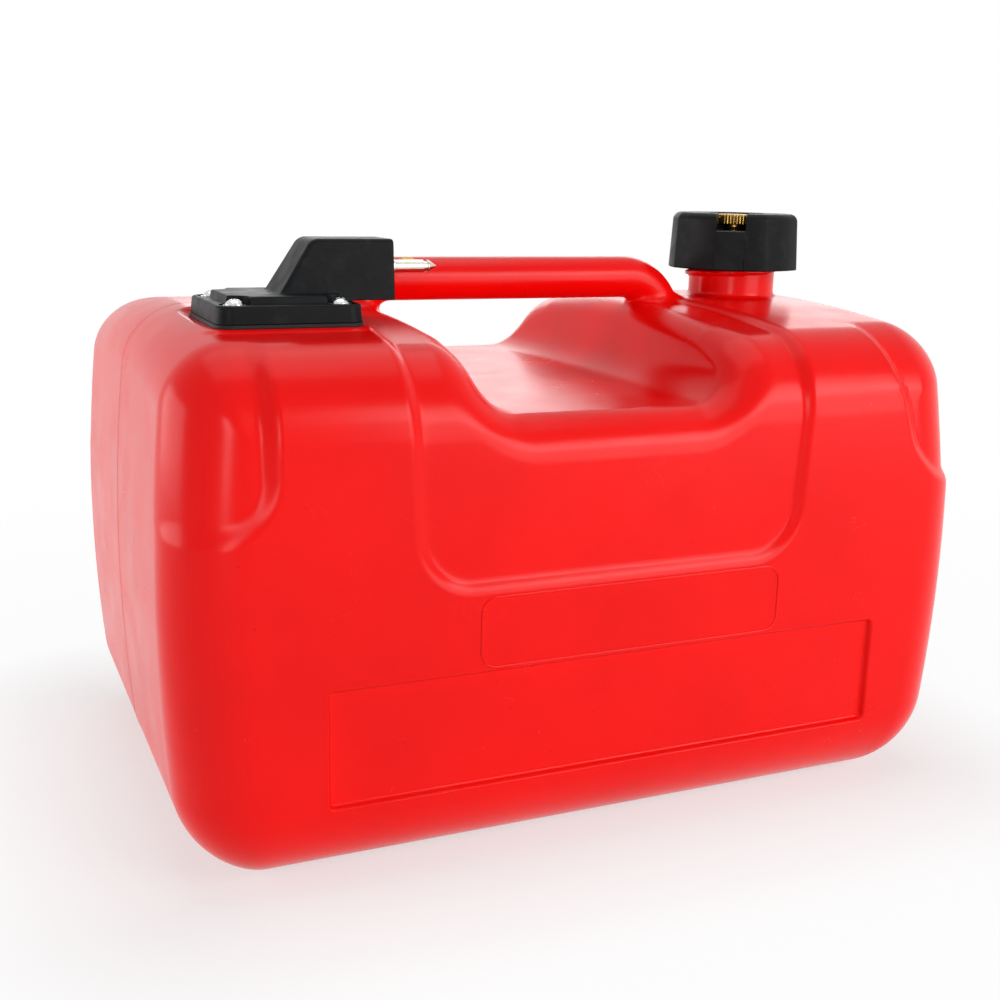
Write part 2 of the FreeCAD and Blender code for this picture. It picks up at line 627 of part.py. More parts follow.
def tank_shell():
    """Hollow body of the moulding with its pickup seat, screw bosses and openings."""
    cavity = tank_envelope(WALL)
    bosses = []
    insert_holes = []
    for x, y in screw_places():
        bosses.append(cylinder(BOSS_RADIUS, SEAT_Z - BOSS_DEPTH, SEAT_Z, x, y))
        insert_holes.append(insert_blank(x, y))
    seat_web = rounded_plate(FLANGE_SIZE, FLANGE_SIZE, FLANGE_CORNER, SEAT_Z - WALL, SEAT_Z,
                             PICKUP_X, PICKUP_Y)
    cavity = cavity.cut(bosses + [seat_web])
    opening = cylinder(OPENING_RADIUS, SEAT_Z - REACH / 2, SEAT_Z + REACH, PICKUP_X, PICKUP_Y)
    bore = cylinder(NECK_BORE, TANK_HEIGHT - REACH / 2, NECK_TOP_Z + REACH, NECK_X)
    panel_backs = []
    for side in (-1, 1):
        panel_backs.append(panel_backing(side))
    cavity = cavity.cut(panel_backs)
    shell = body_blank().cut([cavity, opening, bore] + insert_holes)
    return shell.removeSplitter()


def panel_backing(side):
    """Wall that the name panel pushes into the cavity."""
    face_y = side * (HALF_WIDTH - WALL)
    return rounded_panel(PANEL_LENGTH + 2 * WALL, PANEL_HEIGHT + 2 * WALL, PANEL_CORNER + WALL,
                         PANEL_MIDDLE_X, PANEL_LOW_Z - WALL, face_y, -side * PANEL_STEP)


# ---------------------------------------------------------------- pickup cover and its fasteners
def insert_blank(x, y):
    """Outer shape of a threaded insert, with two grooves that key it into the plastic."""
    low_z = INSERT_TOP_Z - INSERT_LENGTH
    blank = cylinder(INSERT_RADIUS, low_z, INSERT_TOP_Z, x, y)
    for share in INSERT_GROOVE_SHARES:
        middle = low_z + INSERT_LENGTH * share
        blank = blank.cut(tube(INSERT_RADIUS + MERGE, INSERT_RADIUS - INSERT_GROOVE,
                               middle - INSERT_GROOVE, middle + INSERT_GROOVE, x, y))
    return blank


def threaded_inserts():
    """Four brass inserts moulded into the shoulder."""
    inserts = []
    for x, y in screw_places():
        bore = cylinder(SCREW_RADIUS + RUNNING_FIT, SEAT_Z - REACH, SEAT_Z + REACH, x, y)
        inserts.append(insert_blank(x, y).cut(bore))
    return Part.makeCompound(inserts)


def flange_gasket():
    """Soft rubber gasket that shows as a thin lip round the cover."""
    size = FLANGE_SIZE + 2 * GASKET_LIP
    plate = rounded_plate(size, size, FLANGE_CORNER + GASKET_LIP, SEAT_Z, FLANGE_LOW_Z,
                          PICKUP_X, PICKUP_Y)
    holes = [cylinder(OPENING_RADIUS, SEAT_Z - REACH, SEAT_Z + REACH, PICKUP_X, PICKUP_Y)]
    for x, y in screw_places():
        holes.append(cylinder(SCREW_RADIUS + LOOSE_FIT, SEAT_Z - REACH, SEAT_Z + REACH, x, y))
    return plate.cut(holes)


def hood_blank(inset, end_x):
    """Hood with its slanted back and drafted sides, inset by its wall."""
    lean = (HOOD_CREST_X - HOOD_FOOT_X) / (HOOD_TOP_Z - PAD_TOP_Z)
    draft = (HOOD_FOOT_HALF - HOOD_TOP_HALF) / (HOOD_TOP_Z - PAD_TOP_Z)
    back_inset = inset * sqrt(1 + lean ** 2)
    wires = []
    for height in (PAD_TOP_Z, HOOD_TOP_Z - inset):
        above = height - PAD_TOP_Z
        back_x = HOOD_FOOT_X + lean * above + back_inset
        half = HOOD_FOOT_HALF - draft * above - inset
        corners = ((back_x, -half), (end_x, -half), (end_x, half), (back_x, half))
        points = [VEC(x, PICKUP_Y + y, height) for x, y in corners]
        wires.append(Part.makePolygon(points + points[:1]))
    return Part.makeLoft(wires, True, True)


def hood_shell():
    """Outer hood with soft edges and the sill of its overhang."""
    hood = hood_blank(0.0, HOOD_END_X)
    upper = []
    for edge in hood.Edges:
        box = edge.BoundBox
        rises = box.ZMax - box.ZMin > HOOD_EDGE
        at_end = box.XMin > HOOD_END_X - HOOD_EDGE
        at_top = box.ZMin > HOOD_TOP_Z - HOOD_EDGE
        if at_top or (rises and not at_end):
            upper.append(edge)
    hood = hood.makeFillet(HOOD_EDGE, upper)
    sill = block((HOOD_SILL_X, PICKUP_Y - HOOD_FOOT_HALF, PAD_TOP_Z - HOOD_HANG),
                 (HOOD_END_X, PICKUP_Y + HOOD_FOOT_HALF, PAD_TOP_Z))
    return hood.fuse(sill)


def pickup_cover():
    """Moulded cover: flange, raised pad with screw pockets, and the hood over the fitting."""
    flange = rounded_plate(FLANGE_SIZE, FLANGE_SIZE, FLANGE_CORNER, FLANGE_LOW_Z, FLANGE_TOP_Z,
                           PICKUP_X, PICKUP_Y, FLANGE_DRAFT)
    pad = rounded_plate(PAD_SIZE, PAD_SIZE, PAD_CORNER, FLANGE_TOP_Z - MERGE, PAD_TOP_Z,
                        PICKUP_X, PICKUP_Y, FLANGE_DRAFT)
    pockets = []
    holes = []
    for x, y in screw_places():
        pockets.append(cylinder(POCKET_RADIUS, POCKET_Z, PAD_TOP_Z + REACH, x, y))
        holes.append(cylinder(SCREW_RADIUS + LOOSE_FIT, SEAT_Z - REACH, SEAT_Z + REACH, x, y))
    body = flange.fuse(pad).cut(pockets).fuse(hood_shell())
    cavity = hood_blank(HOOD_WALL, HOOD_END_X + REACH)
    spigot_hole = cylinder(SPIGOT_RADIUS + RUNNING_FIT, SEAT_Z, PAD_TOP_Z + MERGE, PIPE_X, PICKUP_Y)
    return body.cut([cavity, spigot_hole] + holes)


def flange_screws():
    """Four pan-head screws with cross recesses."""
    screws = []
    for x, y in screw_places():
        ball_radius = (SCREW_HEAD_RADIUS ** 2 + SCREW_HEAD_RISE ** 2) / (2 * SCREW_HEAD_RISE)
        ball = Part.makeSphere(ball_radius, VEC(x, y, SCREW_SEAT_Z + SCREW_HEAD_RISE - ball_radius))
        head = ball.common(cylinder(SCREW_HEAD_RADIUS, SCREW_SEAT_Z,
                                    SCREW_SEAT_Z + SCREW_HEAD_RISE, x, y))
        shank = cylinder(SCREW_RADIUS, SCREW_SEAT_Z - SCREW_LENGTH, SCREW_SEAT_Z + MERGE, x, y)
        top_z = SCREW_SEAT_Z + SCREW_HEAD_RISE
        long_half = CROSS_LENGTH / 2
        slim_half = CROSS_WIDTH / 2
        slots = []
        for half_x, half_y in ((long_half, slim_half), (slim_half, long_half)):
            slots.append(block((x - half_x, y - half_y, top_z - CROSS_DEPTH),
                               (x + half_x, y + half_y, top_z + CROSS_DEPTH)))
        screws.append(head.fuse(shank).cut(slots))
    return Part.makeCompound(screws)


def screw_washers():
    """Four flat washers under the screw heads."""
    washers = []
    for x, y in screw_places():
        washers.append(tube(WASHER_RADIUS, SCREW_RADIUS + LOOSE_FIT, POCKET_Z, SCREW_SEAT_Z, x, y))
    return Part.makeCompound(washers)


# ---------------------------------------------------------------- fuel fitting
def manifold():
    """Brass block in the hood, with a spigot through the cover and drilled fuel ways."""
    back_x = PIPE_X - MANIFOLD_REACH
    lean = (HOOD_CREST_X - HOOD_FOOT_X) / (HOOD_TOP_Z - PAD_TOP_Z)
    crest_x = back_x + lean * (MANIFOLD_TOP_Z - MANIFOLD_LOW_Z)
    points = ((back_x, MANIFOLD_LOW_Z), (HOOD_END_X, MANIFOLD_LOW_Z),
              (HOOD_END_X, MANIFOLD_TOP_Z), (crest_x, MANIFOLD_TOP_Z))
    body = prism_xz(points, (0, 0, 0, 0), MANIFOLD_HALF)
    body.translate(VEC(0, PICKUP_Y, 0))
    collar = cylinder(SPIGOT_RADIUS + MANIFOLD_PLATE, PAD_TOP_Z, MANIFOLD_LOW_Z + MERGE,
                      PIPE_X, PICKUP_Y)
    seal_room = tube(SPIGOT_RADIUS + MANIFOLD_PLATE + MERGE, SPIGOT_RADIUS, PAD_TOP_Z,
                     PAD_TOP_Z + SEAL_CORD, PIPE_X, PICKUP_Y)
    spigot = cylinder(SPIGOT_RADIUS, SPIGOT_LOW_Z, MANIFOLD_LOW_Z + MERGE, PIPE_X, PICKUP_Y)
    body = body.fuse(collar.cut(seal_room)).fuse(spigot)
    stem_depth = HOOD_END_X - STEM_SHANK
    return body.cut([
        cylinder(FUEL_BORE, SPIGOT_LOW_Z - REACH, STEM_Z, PIPE_X, PICKUP_Y),
        rod(FUEL_BORE, PIPE_X, stem_depth, PICKUP_Y, STEM_Z),
        rod(STEM_RADIUS, stem_depth, HOOD_END_X + REACH, STEM_Y, STEM_Z),
        rod(LATCH_SHANK_RADIUS, stem_depth, HOOD_END_X + REACH, LATCH_Y, STEM_Z),
        rod(FUEL_BORE, stem_depth - FUEL_BORE, stem_depth + FUEL_BORE, PICKUP_Y, STEM_Z),
        block((stem_depth - FUEL_BORE, STEM_Y, STEM_Z - STEM_BORE),
              (stem_depth, PICKUP_Y, STEM_Z + STEM_BORE)),
        tail_thread(),
    ])


def tail_thread():
    """Room for the hose tail's screw in the spigot."""
    return cylinder(PIPE_BORE, SPIGOT_LOW_Z - MERGE, SPIGOT_LOW_Z + TAIL_SINK, PIPE_X, PICKUP_Y)


def manifold_nut():
    """Nut that clamps the manifold from below the cover."""
    nut = hexagon(NUT_FLATS, FLANGE_LOW_Z - NUT_HEIGHT, FLANGE_LOW_Z, PIPE_X, PICKUP_Y)
    return nut.cut(cylinder(SPIGOT_RADIUS + RUNNING_FIT, SEAT_Z - REACH, SEAT_Z + REACH,
                            PIPE_X, PICKUP_Y))


def manifold_seal():
    """O-ring pressed between the manifold and the pad."""
    cord = SEAL_CORD / 2
    return Part.makeTorus(SPIGOT_RADIUS + cord, cord, VEC(PIPE_X, PICKUP_Y, PAD_TOP_Z + cord))


def connector_stem():
    """Pointed nickel-plated stem of the fuel line's snap connector."""
    start_x = HOOD_END_X - STEM_SHANK
    groove_start = STEM_GROOVE_X - STEM_GROOVE_WIDTH / 2
    groove_end = STEM_GROOVE_X + STEM_GROOVE_WIDTH / 2
    neck_radius = STEM_RADIUS - STEM_GROOVE_DEPTH
    outline = (
        (start_x, 0), (start_x, STEM_RADIUS), (HOOD_END_X, STEM_RADIUS),
        (HOOD_END_X, STEM_COLLAR_RADIUS), (HOOD_END_X + STEM_COLLAR, STEM_COLLAR_RADIUS),
        (HOOD_END_X + STEM_COLLAR, STEM_RADIUS), (groove_start, STEM_RADIUS),
        (groove_start, neck_radius), (groove_end, neck_radius),
        (STEM_CONE_X, STEM_RADIUS), (STEM_TIP_X, 0),
    )
    points = [VEC(x, STEM_Y, STEM_Z + radius) for x, radius in outline]
    face = Part.Face(Part.makePolygon(points + points[:1]))
    stem = face.revolve(VEC(0, STEM_Y, STEM_Z), VEC(1, 0, 0), 360)
    bore = rod(STEM_BORE, start_x - MERGE, STEM_GROOVE_X + STEM_BORE / 2, STEM_Y, STEM_Z)
    cross = Part.makeCylinder(STEM_BORE / 2, 2 * STEM_RADIUS + 2 * MERGE,
                              VEC(STEM_GROOVE_X, STEM_Y, STEM_Z - STEM_RADIUS - MERGE))
    return stem.cut([bore, cross])


def latch_pin():
    """Brass locating pin with the notch that the snap connector's latch grips."""
    start_x = HOOD_END_X - STEM_SHANK
    pin = rod(LATCH_RADIUS, HOOD_END_X, LATCH_END_X - LATCH_CHAMFER, LATCH_Y, STEM_Z)
    nose = Part.makeCone(LATCH_RADIUS, LATCH_RADIUS - LATCH_CHAMFER, LATCH_CHAMFER,
                         VEC(LATCH_END_X - LATCH_CHAMFER, LATCH_Y, STEM_Z), VEC(1, 0, 0))
    shank = rod(LATCH_SHANK_RADIUS, start_x, HOOD_END_X + MERGE, LATCH_Y, STEM_Z)
    top_z = STEM_Z + LATCH_RADIUS
    notch = block((LATCH_NOTCH_X - LATCH_NOTCH_WIDTH / 2, LATCH_Y - REACH, top_z - LATCH_NOTCH_DEPTH),
                  (LATCH_NOTCH_X + LATCH_NOTCH_WIDTH / 2, LATCH_Y + REACH, top_z + REACH))
    return pin.fuse([nose, shank]).cut(notch)


# ---------------------------------------------------------------- pickup pipe
def hose_tail():
    """Brass tail with a hexagon and barbs, screwed into the manifold's spigot."""
    low_z = PIPE_TOP_Z - TAIL_LENGTH
    screw = cylinder(PIPE_BORE, TAIL_TOP_Z, TAIL_TOP_Z + TAIL_SINK, PIPE_X, PICKUP_Y)
    hexed = hexagon(TAIL_HEX_FLATS, PIPE_TOP_Z, TAIL_TOP_Z, PIPE_X, PICKUP_Y)
    tail = cylinder(PIPE_BORE - BARB_GROOVE, low_z, PIPE_TOP_Z + MERGE, PIPE_X, PICKUP_Y)
    barbs = []
    step = TAIL_LENGTH / TAIL_BARBS
    for index in range(TAIL_BARBS):
        barb_low = low_z + index * step
        barbs.append(cone(PIPE_BORE - BARB_GROOVE, PIPE_BORE, barb_low, barb_low + step,
                          PIPE_X, PICKUP_Y))
    bore = cylinder(FUEL_BORE, low_z - REACH, TAIL_TOP_Z + REACH, PIPE_X, PICKUP_Y)
    return screw.fuse([hexed, tail] + barbs).cut(bore)


def pickup_pipe():
    """Straight pipe from the hose tail down into the strainer."""
    return tube(PIPE_RADIUS, PIPE_BORE, STRAINER_TOP_Z - STRAINER_CAP, PIPE_TOP_Z, PIPE_X, PICKUP_Y)


def pipe_clip():
    """Spring band with two ears that holds the pipe on the tail."""
    high_z = PIPE_TOP_Z - CLIP_WIDTH / 2
    low_z = high_z - CLIP_WIDTH
    band = tube(PIPE_RADIUS + CLIP_THICK, PIPE_RADIUS, low_z, high_z, PIPE_X, PICKUP_Y)
    gap = block((PIPE_X, PICKUP_Y - CLIP_GAP / 2, low_z),
                (PIPE_X + REACH, PICKUP_Y + CLIP_GAP / 2, high_z))
    ears = []
    for sign in (-1, 1):
        inner_y = PICKUP_Y + sign * CLIP_GAP / 2
        outer_y = inner_y + sign * CLIP_THICK
        ears.append(block((PIPE_X + PIPE_RADIUS + CLIP_THICK / 4, min(inner_y, outer_y), low_z),
                          (PIPE_X + PIPE_RADIUS + CLIP_EAR, max(inner_y, outer_y), high_z)))
    return band.cut(gap).fuse(ears)


def strainer_frame():
    """Moulded cage of the strainer: two end plates joined by ribs."""
    top_low = STRAINER_TOP_Z - STRAINER_CAP
    bottom_high = STRAINER_LOW_Z + STRAINER_CAP
    inner = STRAINER_RADIUS - STRAINER_WALL
    top = cylinder(STRAINER_RADIUS, top_low, STRAINER_TOP_Z, PIPE_X, PICKUP_Y)
    top = top.cut(cylinder(PIPE_RADIUS, top_low, STRAINER_TOP_Z, PIPE_X, PICKUP_Y))
    bottom = cylinder(STRAINER_RADIUS, STRAINER_LOW_Z, bottom_high, PIPE_X, PICKUP_Y)
    wall = tube(STRAINER_RADIUS, inner, bottom_high - MERGE, top_low + MERGE, PIPE_X, PICKUP_Y)
    ribs = []
    for index in range(STRAINER_RIBS // 2):
        slab = block((-STRAINER_RADIUS, -STRAINER_RIB_WIDTH / 2, 0),
                     (STRAINER_RADIUS, STRAINER_RIB_WIDTH / 2, STRAINER_HEIGHT))
        slab.rotate(VEC(0, 0, 0), UP, index * 360 / STRAINER_RIBS)
        slab.translate(VEC(PIPE_X, PICKUP_Y, STRAINER_LOW_Z))
        ribs.append(wall.common(slab))
    return top.fuse([bottom] + ribs)


def strainer_mesh():
    """Fine mesh sleeve inside the cage."""
    outer = STRAINER_RADIUS - STRAINER_WALL
    return tube(outer, outer - MESH_THICK, STRAINER_LOW_Z + STRAINER_CAP,
                STRAINER_TOP_Z - STRAINER_CAP, PIPE_X, PICKUP_Y)


# ---------------------------------------------------------------- filler cap and vent
def cap_outline(shrink, height):
    """Eight-ridged outline of the cap: each side falls in behind one ridge and swells to the next."""
    points = []
    sides = CAP_RIDGES
    for index in range(sides):
        start = radians(NOTCH_ANGLE + CAP_RIDGE_TURN) + index * 2 * pi / sides
        middle = start + pi / sides
        for angle, drop in ((start, 0.0), (middle, CAP_FACET_DROP)):
            reach = CAP_RADIUS - shrink - drop
            points.append(VEC(NECK_X + reach * cos(angle), reach * sin(angle), height))
    edges = []
    for index in range(sides):
        start = points[2 * index]
        middle = points[2 * index + 1]
        end = points[(2 * index + 2) % len(points)]
        edges.append(Part.Arc(start, middle, end).toShape())
    return Part.Wire(edges)


def cap_blank():
    """Outer body of the cap with its rounded crown edge."""
    wires = [cap_outline(0.0, CAP_LOW_Z)]
    for step in range(CAP_EDGE_STEPS + 1):
        angle = step * pi / 2 / CAP_EDGE_STEPS
        shrink = CAP_DRAFT + CAP_EDGE * (1 - cos(angle))
        wires.append(cap_outline(shrink, CAP_TOP_Z - CAP_EDGE * (1 - sin(angle))))
    return Part.makeLoft(wires, True, True)


def filler_cap():
    """Screw cap with an inner thread, a well for the vent screw and a finger notch."""
    low_z = CAP_LOW_Z
    liner_low = CAP_CEILING_Z - GASKET_THICK - LOOSE_FIT
    bore = cylinder(CAP_BORE, low_z - REACH, liner_low, NECK_X)
    liner_room = cylinder(NECK_RADIUS + LINER_WALL, liner_low - MERGE, CAP_CEILING_Z, NECK_X)
    dish = cylinder(DISH_RADIUS, DISH_FLOOR_Z, CAP_TOP_Z + REACH, NECK_X)
    notch = block((0, -NOTCH_WIDTH / 2, DISH_FLOOR_Z),
                  (CAP_RADIUS + REACH, NOTCH_WIDTH / 2, CAP_TOP_Z + REACH))
    notch.rotate(VEC(0, 0, 0), UP, NOTCH_ANGLE)
    notch.translate(VEC(NECK_X, 0, 0))
    bush_hole = cylinder(VENT_BUSH_RADIUS, CAP_CEILING_Z - REACH, DISH_FLOOR_Z + REACH, NECK_X)
    cap = cap_blank().cut([bore, liner_room, dish, notch, bush_hole])
    ridge_low = THREAD_LOW_Z + THREAD_PITCH * (CAP_THREAD_SKIP + 0.5)
    ridge = helix_ridge(CAP_BORE + MERGE, CAP_BORE - CAP_THREAD_DEPTH, THREAD_BASE, THREAD_TIP,
                        THREAD_PITCH, CAP_THREAD_TURNS, ridge_low, NECK_X, 0)
    ridge.rotate(VEC(NECK_X, 0, 0), UP, 360 * CAP_THREAD_SKIP)
    return cap.fuse(ridge)


def cap_gasket():
    """Flat rubber ring that seals the neck's rim."""
    return tube(NECK_RADIUS + LINER_WALL - LOOSE_FIT, NECK_BORE - GASKET_OVERHANG,
                NECK_TOP_Z, CAP_CEILING_Z, NECK_X)


def vent_bush():
    """Brass bush moulded into the cap's web, with a seat for the vent seal."""
    body = cylinder(VENT_BUSH_RADIUS, VENT_BUSH_LOW_Z, DISH_FLOOR_Z, NECK_X)
    return body.cut(cylinder(VENT_SCREW_RADIUS + RUNNING_FIT, VENT_BUSH_LOW_Z, DISH_FLOOR_Z, NECK_X))


def vent_screw():
    """Knurled brass screw that opens the vent; a cross hole lets the air past its shank."""
    knob_top = VENT_KNOB_LOW_Z + VENT_KNOB_HEIGHT
    knob = cylinder(VENT_KNOB_RADIUS, VENT_KNOB_LOW_Z, knob_top, NECK_X)
    cuts = []
    for index in range(VENT_KNURLS):
        angle = index * 2 * pi / VENT_KNURLS
        reach = VENT_KNOB_RADIUS + VENT_KNURL_DEPTH
        cuts.append(cylinder(2 * VENT_KNURL_DEPTH, VENT_KNOB_LOW_Z, knob_top,
                             NECK_X + reach * cos(angle), reach * sin(angle)))
    cuts.append(block((NECK_X - REACH, -VENT_SLOT_WIDTH / 2, knob_top - VENT_SLOT_DEPTH),
                      (NECK_X + REACH, VENT_SLOT_WIDTH / 2, knob_top + REACH)))
    shoulder = cylinder(VENT_BUSH_RADIUS, VENT_SEAT_Z, VENT_KNOB_LOW_Z + MERGE, NECK_X)
    shank = cylinder(VENT_SCREW_RADIUS, VENT_TIP_Z, VENT_KNOB_LOW_Z + MERGE, NECK_X)
    groove = stop_ring_band(VENT_SCREW_RADIUS + MERGE)
    bore = cylinder(VENT_BORE, VENT_TIP_Z - REACH, VENT_SEAT_Z + VENT_BORE, NECK_X)
    cross = Part.makeCylinder(VENT_BORE / 2, 2 * VENT_BUSH_RADIUS + 2 * MERGE,
                              VEC(NECK_X - VENT_BUSH_RADIUS - MERGE, 0, VENT_SEAT_Z + VENT_BORE),
                              VEC(1, 0, 0))
    return knob.cut(cuts).fuse([shoulder, shank]).cut([groove, bore, cross])


def stop_ring_band(outer):
    """Ring in the plane of the stop ring, from the groove's bottom outwards."""
    return tube(outer, VENT_SCREW_RADIUS - STOP_GROOVE_DEPTH, STOP_RING_LOW_Z, STOP_RING_TOP_Z, NECK_X)


def vent_stop_ring():
    """Spring ring that keeps the vent screw in the cap."""
    half_gap = VENT_SCREW_RADIUS / 2
    gap = block((NECK_X, -half_gap, STOP_RING_LOW_Z), (NECK_X + REACH, half_gap, STOP_RING_TOP_Z))
    return stop_ring_band(STOP_RING_RADIUS).cut(gap)


def vent_seal():
    """Soft washer between the vent screw's shoulder and the bush."""
    return tube(VENT_BUSH_RADIUS, VENT_SCREW_RADIUS + RUNNING_FIT, DISH_FLOOR_Z, VENT_SEAT_Z, NECK_X)


# ---------------------------------------------------------------- all nodes
NODES = {
    "tank_shell": tank_shell,
    "carry_handle": carry_handle,
    "filler_neck": filler_neck,
    "threaded_inserts": threaded_inserts,
    "flange_gasket": flange_gasket,
    "pickup_cover": pickup_cover,
    "flange_screws": flange_screws,
    "screw_washers": screw_washers,
    "manifold": manifold,
    "manifold_nut": manifold_nut,
    "manifold_seal": manifold_seal,
    "connector_stem": connector_stem,
    "latch_pin": latch_pin,
    "hose_tail": hose_tail,
    "pickup_pipe": pickup_pipe,
    "pipe_clip": pipe_clip,
    "strainer_frame": strainer_frame,
    "strainer_mesh": strainer_mesh,
    "filler_cap": filler_cap,
    "cap_gasket": cap_gasket,
    "vent_bush": vent_bush,
    "vent_screw": vent_screw,
    "vent_stop_ring": vent_stop_ring,
    "vent_seal": vent_seal,
}


def main():
    """Build every node and write its STEP file."""
    os.makedirs("parts", exist_ok=True)
    for name, build in NODES.items():
        shape = build()
        shape.exportStep(os.path.join("parts", name + ".step"))
        print(name, "solids", len(shape.Solids), "valid", shape.isValid(),
              "volume_cm3", round(shape.Volume / 1000, 2))


main()
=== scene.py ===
"""Portable outboard fuel tank: moulded skins, finishes and stage round its CAD frame."""
import json
from math import cos, floor, hypot, pi, radians, sin

import bpy
import numpy as np
from mathutils import Matrix, Vector


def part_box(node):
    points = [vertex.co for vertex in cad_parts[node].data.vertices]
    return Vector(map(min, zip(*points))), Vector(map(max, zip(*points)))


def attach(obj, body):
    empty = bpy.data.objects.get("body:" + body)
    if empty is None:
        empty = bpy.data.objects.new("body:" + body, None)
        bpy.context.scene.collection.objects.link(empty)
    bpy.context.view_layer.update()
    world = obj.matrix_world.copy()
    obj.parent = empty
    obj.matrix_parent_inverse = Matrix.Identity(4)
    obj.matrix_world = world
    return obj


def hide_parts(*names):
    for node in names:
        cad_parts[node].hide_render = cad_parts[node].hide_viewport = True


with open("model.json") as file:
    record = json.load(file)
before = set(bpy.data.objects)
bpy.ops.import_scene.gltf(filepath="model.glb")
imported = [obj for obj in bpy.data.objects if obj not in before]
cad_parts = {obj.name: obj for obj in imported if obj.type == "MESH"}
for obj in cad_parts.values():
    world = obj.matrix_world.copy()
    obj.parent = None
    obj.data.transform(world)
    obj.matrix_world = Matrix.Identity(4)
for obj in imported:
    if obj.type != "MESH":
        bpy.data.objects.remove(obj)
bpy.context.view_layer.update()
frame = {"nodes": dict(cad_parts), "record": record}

bl_info = {
    "name": "Outboard Fuel Tank",
    "version": (1, 0, 0),
    "blender": (4, 5, 0),
    "location": "3D View > Sidebar > Fuel Tank",
    "description": "Dresses the fuel tank's CAD parts in moulded skins and real finishes",
    "category": "Object",
}

MM = 0.001


# -------- settings a user would change
class FuelTankSizes(bpy.types.PropertyGroup):
    """Sizes of the moulded skins, and how finely they are meshed."""
    length: bpy.props.FloatProperty(
        name="Length", description="Over the swollen ends", default=0.350, unit="LENGTH")
    width: bpy.props.FloatProperty(
        name="Width", description="From front face to back face", default=0.238, unit="LENGTH")
    height: bpy.props.FloatProperty(
        name="Height", description="Shoulders above the ground", default=0.209, unit="LENGTH")
    seam: bpy.props.FloatProperty(
        name="Parting line", description="Height of the mould's parting line",
        default=0.0002, unit="LENGTH")
    body_step: bpy.props.FloatProperty(
        name="Body mesh", description="Spacing of the body's mesh", default=0.0016, unit="LENGTH")
    cover_step: bpy.props.FloatProperty(
        name="Cover mesh", description="Spacing of the mesh of cover and cap",
        default=0.0005, unit="LENGTH")
    metal_step: bpy.props.FloatProperty(
        name="Metal mesh", description="Spacing of the mesh of the small metal pieces",
        default=0.00018, unit="LENGTH")


class FuelTankColours(bpy.types.PropertyGroup):
    """Colours of the finishes, as sRGB hex values."""
    polyethylene: bpy.props.StringProperty(
        name="Polyethylene", description="Red of the blow-moulded tank", default="FA0906")
    nylon: bpy.props.StringProperty(
        name="Nylon", description="Charcoal black of cover and cap", default="0E0F11")
    brass: bpy.props.StringProperty(
        name="Brass", description="Vent screw and latch pin", default="B08A48")
    nickel: bpy.props.StringProperty(
        name="Nickel", description="Plating of the connector stem", default="D9D3C6")
    steel: bpy.props.StringProperty(
        name="Steel", description="Cover screws and washers", default="D2D4D6")
    floor: bpy.props.StringProperty(
        name="Floor", description="Pale floor below the tank", default="F4F4F4")


def linear(hex_value):
    """Linear RGBA of an sRGB hex colour."""
    channels = [int(hex_value[index:index + 2], 16) / 255 for index in (0, 2, 4)]
    curved = [c / 12.92 if c <= 0.04045 else ((c + 0.055) / 1.055) ** 2.4 for c in channels]
    return (*curved, 1.0)


# -------- places and sizes, in millimetres
FAR = 1000.0                   # a distance beyond the whole tank
# body; a pair gives the pickup end first, then the filler end
END_SWELL = 9.5
PICKUP_END_SHORT = 1.8         # the pickup end swells and reaches less far by this
CROWN = 1400.0                 # the top falls by y * y / CROWN towards front and back
TOP_EDGE, FACE_EDGE, BASE_EDGE = 23.0, 29.0, 37.5
SEAM_WIDTH, SEAM_LOW_Z, SEAM_FADE, SEAM_NECK_RADIUS = 1.3, 2.0, 4.0, 24.0
# saddle over the top and down both faces
SADDLE_LOW_Z = 115.4
SADDLE_HALF_LOW, SADDLE_HALF_TOP = 79.0, 84.0
SADDLE_CORNER, SADDLE_SINK = 18.0, 2.5
SADDLE_STEP, SADDLE_LIP = 5.5, 0.9
# hand hollow; its upper edge gets fuller towards the faces
HOLLOW_FLOOR_Z, HOLLOW_HALF, HOLLOW_CORNER = 175.0, 51.0, 13.0
HOLLOW_DRAFT = radians(14.5)
HOLLOW_EDGE, HOLLOW_EDGE_MORE = 9.0, 8.0
HOLLOW_EDGE_FROM, HOLLOW_EDGE_RUN = 75.0, 35.0
# bare panel sunk low in each face, and the line of the label field above it
PANEL_X, PANEL_Z, PANEL_HALF_X, PANEL_HALF_Z = 3.3, 57.15, 120.5, 22.75
PANEL_CORNER, PANEL_SINK, PANEL_SLOPE = 2.0, 2.5, 1.5
LABEL_X, LABEL_Z, LABEL_HALF_X, LABEL_HALF_Z = 7.8, 95.55, 66.1, 13.85
LABEL_CORNER, LABEL_LINE_HALF, LABEL_LINE_RISE, LABEL_LINE_ROOT = 6.4, 0.62, 0.5, 0.06
# corner reliefs
RELIEF_LOW_Z, RELIEF_SINK, RELIEF_CORNER = 139.5, 2.2, 20.0
RELIEF_INNER_X, RELIEF_LEAN_BACK, RELIEF_STEP = (136.5, 141.0), (0.05, 0.10), (8.5, 7.0)
RELIEF_INNER_LEAN, RELIEF_INNER_Z = 0.296, 153.5
RELIEF_END_SINK, RELIEF_END_FROM, RELIEF_END_RUN = (0.0, 1.2), 80.0, 25.0
# flat seat of the pickup cover
PICKUP = (-116.5, -46.0)
SEAT_Z = 206.0
SEAT_HALF, SEAT_CORNER, SEAT_SLOPE = 31.2, 8.5, 4.5
SEAT_REACH, SEAT_CUT = 12.0, 6.0
